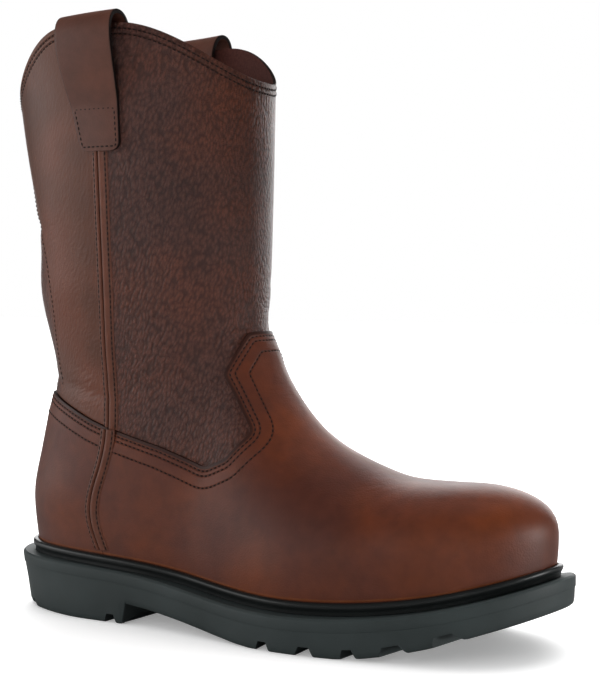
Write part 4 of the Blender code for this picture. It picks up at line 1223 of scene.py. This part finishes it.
def tread_cutters():
    """Notches, channels and bars of the tread."""
    notches, bars, channels = bmesh.new(), bmesh.new(), bmesh.new()
    for along, width, reach, turn in EDGE_NOTCHES:
        lateral, medial = paired_stations(0, np.array([along]))
        for plan, sign in ((lateral[0], -1), (medial[0], 1)):
            spot = (plan[0], plan[1], float(tread_height(along)))
            tapered_bar(notches, NOTCH_MOUTH * width, 2 * reach, 2 * TREAD_DEPTH, NOTCH_TAPER, spot,
                        tread_slope(along), sign * turn)
    for along, width, half in CROSS_BARS:
        lateral, medial = paired_stations(0, np.array([along]))
        spot = (along, 0.5 * (lateral[0][1] + medial[0][1]), float(tread_height(along)))
        tapered_bar(bars, width, 2 * half, 2 * BAR_DEPTH, 1.0, spot, tread_slope(along))
    narrow = CHANNEL_TAPER / 2
    for start, end, inset, width in CHANNELS:
        for plan in paired_stations(inset, np.linspace(start, end, 24)):
            face = tread_height(plan[:, 0])
            corners = [(-0.5, -1), (0.5, -1), (narrow, 1), (-narrow, 1)]
            sides = [np.column_stack([plan[:, 0], plan[:, 1] + share * width, face + up * CHANNEL_DEPTH])
                     for share, up in corners]
            rings = np.stack(sides, 1)
            loops = []
            for ring in rings:
                verts = [channels.verts.new(point) for point in ring]
                loops.append([channels.edges.new((verts[k], verts[(k + 1) % 4])) for k in range(4)])
            for near, far in zip(loops, loops[1:]):
                bmesh.ops.bridge_loops(channels, edges=near + far)
            bmesh.ops.holes_fill(channels, edges=loops[0] + loops[-1], sides=4)
    return [cutter("notch_cutter", notches), cutter("bar_cutter", bars), cutter("channel_cutter", channels)]


class BOOT_OT_sole(bpy.types.Operator):
    """Outsole with its lugs, the welt's bead and the insole"""
    bl_idname = "boot.sole"
    bl_label = "Sole"

    def execute(self, context):
        bm = sheet(outsole_rings(sole_stations()), True)
        open_edges = [edge for edge in bm.edges if edge.is_boundary]
        for toe, middle in ((False, 0.0), (True, TOE_TIP_ACROSS * MM)):
            end = [edge for edge in open_edges if (edge.verts[0].co.x > 0) == toe]
            walls = [edge for edge in end if (edge.verts[0].co.y > middle) == (edge.verts[1].co.y > middle)]
            bmesh.ops.bridge_loops(bm, edges=walls)
        rubber = moulded_rubber("moulded_sole_rubber", "sole", 0.6, 0.12)
        obj = piece("outsole_rubber", bm, [rubber], ["outsole"], sharp=SOLE_SHARP)
        cutters = tread_cutters()
        for tool in cutters:
            cut = obj.modifiers.new(tool.name, "BOOLEAN")
            cut.operation = "DIFFERENCE"
            cut.solver = "EXACT"
            cut.object = tool
        cut_mesh = bpy.data.meshes.new_from_object(obj.evaluated_get(context.evaluated_depsgraph_get()))
        obj.modifiers.clear()
        obj.data = cut_mesh
        cut_mesh.name = obj.name
        cut_mesh.shade_smooth()
        cut_mesh.set_sharp_from_angle(angle=math.radians(SOLE_SHARP))
        for tool in cutters:
            bpy.data.objects.remove(tool)
        self.make_welt()
        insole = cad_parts["insole"]
        insole.data.materials.clear()
        insole.data.materials.append(plain_leather("insole_cover", "board", 0.8))
        return {"FINISHED"}

    def make_welt(self, samples=420):
        """Bead and ledge round the foot, on the outsole's flange."""
        turn = np.linspace(0, 2 * math.pi, samples, endpoint=False)
        plan = feather_ring(turn)
        face = GAP + OVERLAY + WELT_CLEARANCE

        def on_flange(points, up):
            return np.column_stack([points, flange_height(points[:, 0]) + up])

        inner = [settle(on_flange(plan, up), face, (1, 1, 0)) for up in (WELT_HEIGHT, GAP)]
        foot = inner[1][:, :2]
        normal = outward(foot)
        rings = [on_flange(foot + out * normal, up) for out, up in WELT_SECTION]
        rings += [on_flange(ring[:, :2], up) for ring, up in zip(inner, (WELT_HEIGHT, GAP))]
        rings.append(rings[0])
        bm = sheet(np.stack(rings), True)
        rubber = moulded_rubber("polished_welt_rubber", "welt", 0.36, 0.03)
        piece("welt_bead", bm, [rubber], ["welt"], sharp=60)


def stitched(line, level):
    """Both ends of each stitch on a line that lies on the upper's plain face, at a level over it."""
    lengths = lengths_along(line)
    count = max(int(lengths[-1] / (sizes().stitch_pitch / MM)), 1)
    middle = (np.arange(count) + 0.5) / count
    reach = 0.5 * sizes().stitch_length / MM / lengths[-1]
    sunk = level - STITCH_SUNK * sizes().thread_width / MM
    return np.stack([dressed(even_samples(line, middle + way * reach), sunk) for way in (-1, 1)], 1)


def thread_piece(name, ends, out):
    """Stitches as one mesh: each a short bowed capsule between its two ends."""
    bm = bmesh.new()
    bmesh.ops.create_uvsphere(bm, u_segments=6, v_segments=5, radius=1.0)
    shape = np.array([vert.co for vert in bm.verts])
    faces = [[vert.index for vert in face.verts] for face in bm.faces]
    bm.free()
    along = (ends[:, 1] - ends[:, 0]) / 2
    half = np.linalg.norm(along, axis=1)[:, None]
    along = along / half
    beside = np.cross(out, along)
    radius = sizes().thread_width / MM / 2
    middle = ends.mean(1)
    bow = (1 - shape[:, 2]**2) * radius * 0.5
    verts = (middle[:, None] + shape[None, :, 2, None] * (half + radius * 0.6)[:, None] * along[:, None]
             + shape[None, :, 0, None] * radius * beside[:, None]
             + (shape[None, :, 1, None] * radius * 0.9 + bow[None, :, None]) * out[:, None])
    count = len(shape)
    all_faces = [[index + k * count for index in face] for k in range(len(ends)) for face in faces]
    mesh = bpy.data.meshes.new(name)
    mesh.from_pydata(placed(verts.reshape(-1, 3)).tolist(), [], all_faces)
    mesh.materials.append(waxed_thread())
    mesh.shade_smooth()
    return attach(linked(name, mesh), "root")


def inside_edge(plain, distance):
    """Line on a panel at a distance from its top edge, column by column."""
    edge = distance_to_line(plain, plain[-1])
    points = []
    for column in range(plain.shape[1]):
        far = np.maximum.accumulate(edge[::-1, column])
        if far[-1] < distance:
            continue
        row = np.interp(distance, far, np.arange(len(far)))
        points.append([np.interp(row, np.arange(len(far)), plain[::-1, column, k]) for k in range(3)])
    return np.array(points)


class BOOT_OT_stitching(bpy.types.Operator):
    """Rows of stitches on panels, strips, collar and pull loops"""
    bl_idname = "boot.stitching"
    bl_label = "Stitching"

    def sew(self, name, rows):
        """One piece of thread from rows of stitches: lines on the upper's plain face, with their levels."""
        ends = np.concatenate([stitched(line, level) for line, level in rows])
        thread_piece(name, ends, way_out(ends.mean(1)))

    def execute(self, context):
        for name, plain in (("vamp_thread", vamp_grid()), ("counter_thread", counter_grid())):
            rows = [(inside_edge(plain, distance), float(overlay_level(distance))) for distance in EDGE_ROWS]
            self.sew(name, rows)
        plain = upper_grid()
        collar = []
        for distance in COLLAR_ROWS:
            line = inside_edge(plain, distance)
            collar.append(np.vstack([line, line[:1]]))
        self.sew("collar_thread", [(line, 0.0) for line in collar])
        stays, joints, backs = [], [], []
        for side, sign in SIDES.items():
            z = np.linspace(SEAM_TOP, LOOP[0][0], 80)
            low = np.linspace(STRIP_FOOT, SEAM_TOP - 1, 50)
            for shift in (-STRIP_ROW, STRIP_ROW):
                stays.append(seam_line(side, z, shift))
                joints.append(seam_line(side, low, shift))
            z = np.linspace(*BACK_SEWN, 60)
            start = np.column_stack([0 * z + ROUND_BACK, sign * (back_half(z) + BACK_ROW), z])
            backs.append(settle(start, 0.0, (1, 0, 0), steps=30))
        self.sew("side_stay_thread", [(line, GAP + 0.3) for line in stays])
        self.sew("joint_strip_thread", [(line, GAP + OVERLAY + GAP + 0.3) for line in joints])
        self.sew("back_strip_thread", [(line, 0.0) for line in backs])
        patches = []
        for side, sign in SIDES.items():
            low, high = PATCH_HEIGHTS
            reach = [(PATCH_LEAN, LOOP[1][2] - PATCH_ROW, low), (0.0, LOOP[3][2] - PATCH_ROW, high)]
            left = [(LOOP_ALONG[side] + lean - half, z) for lean, half, z in reach[::-1]]
            right = [(LOOP_ALONG[side] + lean + half, z) for lean, half, z in reach]
            corners = [left[0], left[1], right[0], right[1], left[0]]
            outline = even_samples(np.array(corners), np.linspace(0, 1, 160))
            patches.append(on_side(outline, sign))
        self.sew("pull_loop_thread", [(line, GAP + LOOP_LEATHER) for line in patches])
        return {"FINISHED"}


SKY_WAY = (0.2, -0.55, -1.0)    # way that the light of the panel overhead falls
SKY_ANGLE = 65.0                # how wide the panel is, in degrees
# Soft boxes: name, place, what it points at, width and height, watts, spread, whether it shows in gloss
LIGHTS = [
    ("key_left", (-1.75, -0.95, 0.2), (0.0, 0.0, 0.12), (2.0, 1.3), 14.0, 180, True),
    ("backdrop", (-0.66, 1.65, 0.55), (0.0, 0.0, 0.12), (2.4, 1.1), 27.0, 180, True),
    ("toe_right", (0.74, 0.12, 0.09), (0.14, -0.01, 0.05), (0.3, 0.2), 0.09, 28, True),
    ("front_fill", (0.1, -1.9, 0.7), (0.0, 0.0, 0.12), (1.6, 1.2), 13.0, 180, False),
    ("low_fill", (0.85, -1.75, 0.12), (-0.03, 0.0, 0.215), (1.0, 0.5), 0.15, 14, True),
]


def studio_paper():
    """White paper glowing to the camera as painted light, with a painted contact shadow near the boot; it
    lights the boot less.
    """
    material, tree, shader, place = new_finish("studio_paper")
    seen = add(tree, "ShaderNodeLightPath").outputs["Is Camera Ray"]
    tone = add(tree, "ShaderNodeMix", {0: seen, 6: rgba(colours().floor_bounce), 7: rgba(colours().floor)},
               data_type="RGBA")
    tree.links.new(tone.outputs[2], shader.inputs["Base Color"])
    # Painted contact shadow: the paper's glow fades where ambient occlusion finds the boot close by
    open_floor = add(tree, "ShaderNodeAmbientOcclusion", {"Distance": 0.06}, samples=12)
    glow_with_painted_shadow = add(tree, "ShaderNodeMapRange", {0: open_floor.outputs["AO"], 1: 0.1, 2: 0.8, 3: 0.25, 4: 0.6})
    glow = add(tree, "ShaderNodeMath", {0: seen, 1: glow_with_painted_shadow.outputs[0]}, operation="MULTIPLY")
    tree.links.new(glow.outputs[0], shader.inputs["Emission Strength"])
    shader.inputs["Emission Color"].default_value = (1.0, 1.0, 1.0, 1.0)
    shader.inputs["Roughness"].default_value = 0.9
    shader.inputs["Specular IOR Level"].default_value = 0.1
    return material


def studio_room():
    """White room: full white to the camera, dim as it lights the boot."""
    world = bpy.data.worlds.new("studio")
    world.use_nodes = True
    tree = world.node_tree
    seen = add(tree, "ShaderNodeLightPath").outputs["Is Camera Ray"]
    room = add(tree, "ShaderNodeMapRange", {0: seen, 3: sizes().room_light, 4: 1.0})
    background = tree.nodes["Background"]
    background.inputs["Color"].default_value = (1.0, 1.0, 1.0, 1.0)
    tree.links.new(room.outputs[0], background.inputs["Strength"])
    return world


def turned_to(way):
    """Rotation of a lamp or camera that looks along a way."""
    return Vector(way).to_track_quat("-Z", "Y").to_euler()


class BOOT_OT_stage(bpy.types.Operator):
    """Floor, soft studio lights and camera"""
    bl_idname = "boot.stage"
    bl_label = "Stage"

    def execute(self, context):
        bm = bmesh.new()
        bmesh.ops.create_grid(bm, x_segments=1, y_segments=1, size=6.0)
        floor = linked("studio_floor", mesh_from("studio_floor", bm))
        floor.data.materials.append(studio_paper())
        context.scene.world = studio_room()
        self.hang_lamps()
        lens = bpy.data.cameras.new("camera")
        lens.lens = sizes().camera_lens
        lens.sensor_width = 36.0
        camera = linked("camera", lens)
        camera.location = sizes().camera_place
        camera.rotation_euler = turned_to(Vector(sizes().camera_aim) - Vector(sizes().camera_place))
        context.scene.camera = camera
        context.scene.view_settings.view_transform = "Standard"
        return {"FINISHED"}

    def hang_lamps(self):
        """The wide panel overhead, which shows in no gloss, and the soft boxes."""
        sky = bpy.data.lights.new("sky_panel", "SUN")
        sky.energy = sizes().sky_light
        sky.angle = math.radians(SKY_ANGLE)
        overhead = linked("sky_panel", sky)
        overhead.rotation_euler = turned_to(SKY_WAY)
        overhead.visible_glossy = False
        for name, spot, aim, size, power, spread, glossy in LIGHTS:
            box = bpy.data.lights.new(name, "AREA")
            box.shape = "RECTANGLE"
            box.size, box.size_y = size
            box.energy = power
            box.spread = math.radians(spread)
            lamp = linked(name, box)
            lamp.location = spot
            lamp.visible_glossy = glossy
            lamp.rotation_euler = turned_to(Vector(aim) - Vector(spot))


class BOOT_PT_panel(bpy.types.Panel):
    """The boot's pieces, in the order that they are made"""
    bl_idname = "BOOT_PT_panel"
    bl_label = "Pull-on work boot"
    bl_space_type = "VIEW_3D"
    bl_region_type = "UI"
    bl_category = "Boot"

    def draw(self, context):
        for operator in OPERATORS:
            self.layout.operator(operator.bl_idname)
        for group in (context.scene.boot_colours, context.scene.boot_sizes):
            for name in group.__annotations__:
                self.layout.prop(group, name)


OPERATORS = (BOOT_OT_upper, BOOT_OT_panels, BOOT_OT_strips, BOOT_OT_pull_loops, BOOT_OT_sole,
             BOOT_OT_stitching, BOOT_OT_stage)
CLASSES = (BootColours, BootSizes, *OPERATORS, BOOT_PT_panel)


def register():
    for cls in CLASSES:
        bpy.utils.register_class(cls)
    bpy.types.Scene.boot_colours = bpy.props.PointerProperty(type=BootColours)
    bpy.types.Scene.boot_sizes = bpy.props.PointerProperty(type=BootSizes)


def unregister():
    del bpy.types.Scene.boot_sizes
    del bpy.types.Scene.boot_colours
    for cls in reversed(CLASSES):
        bpy.utils.unregister_class(cls)


def main():
    register()
    for operator in (bpy.ops.boot.upper, bpy.ops.boot.panels, bpy.ops.boot.strips, bpy.ops.boot.pull_loops,
                     bpy.ops.boot.sole, bpy.ops.boot.stitching, bpy.ops.boot.stage):
        operator()


if __name__ == "__main__":
    main()
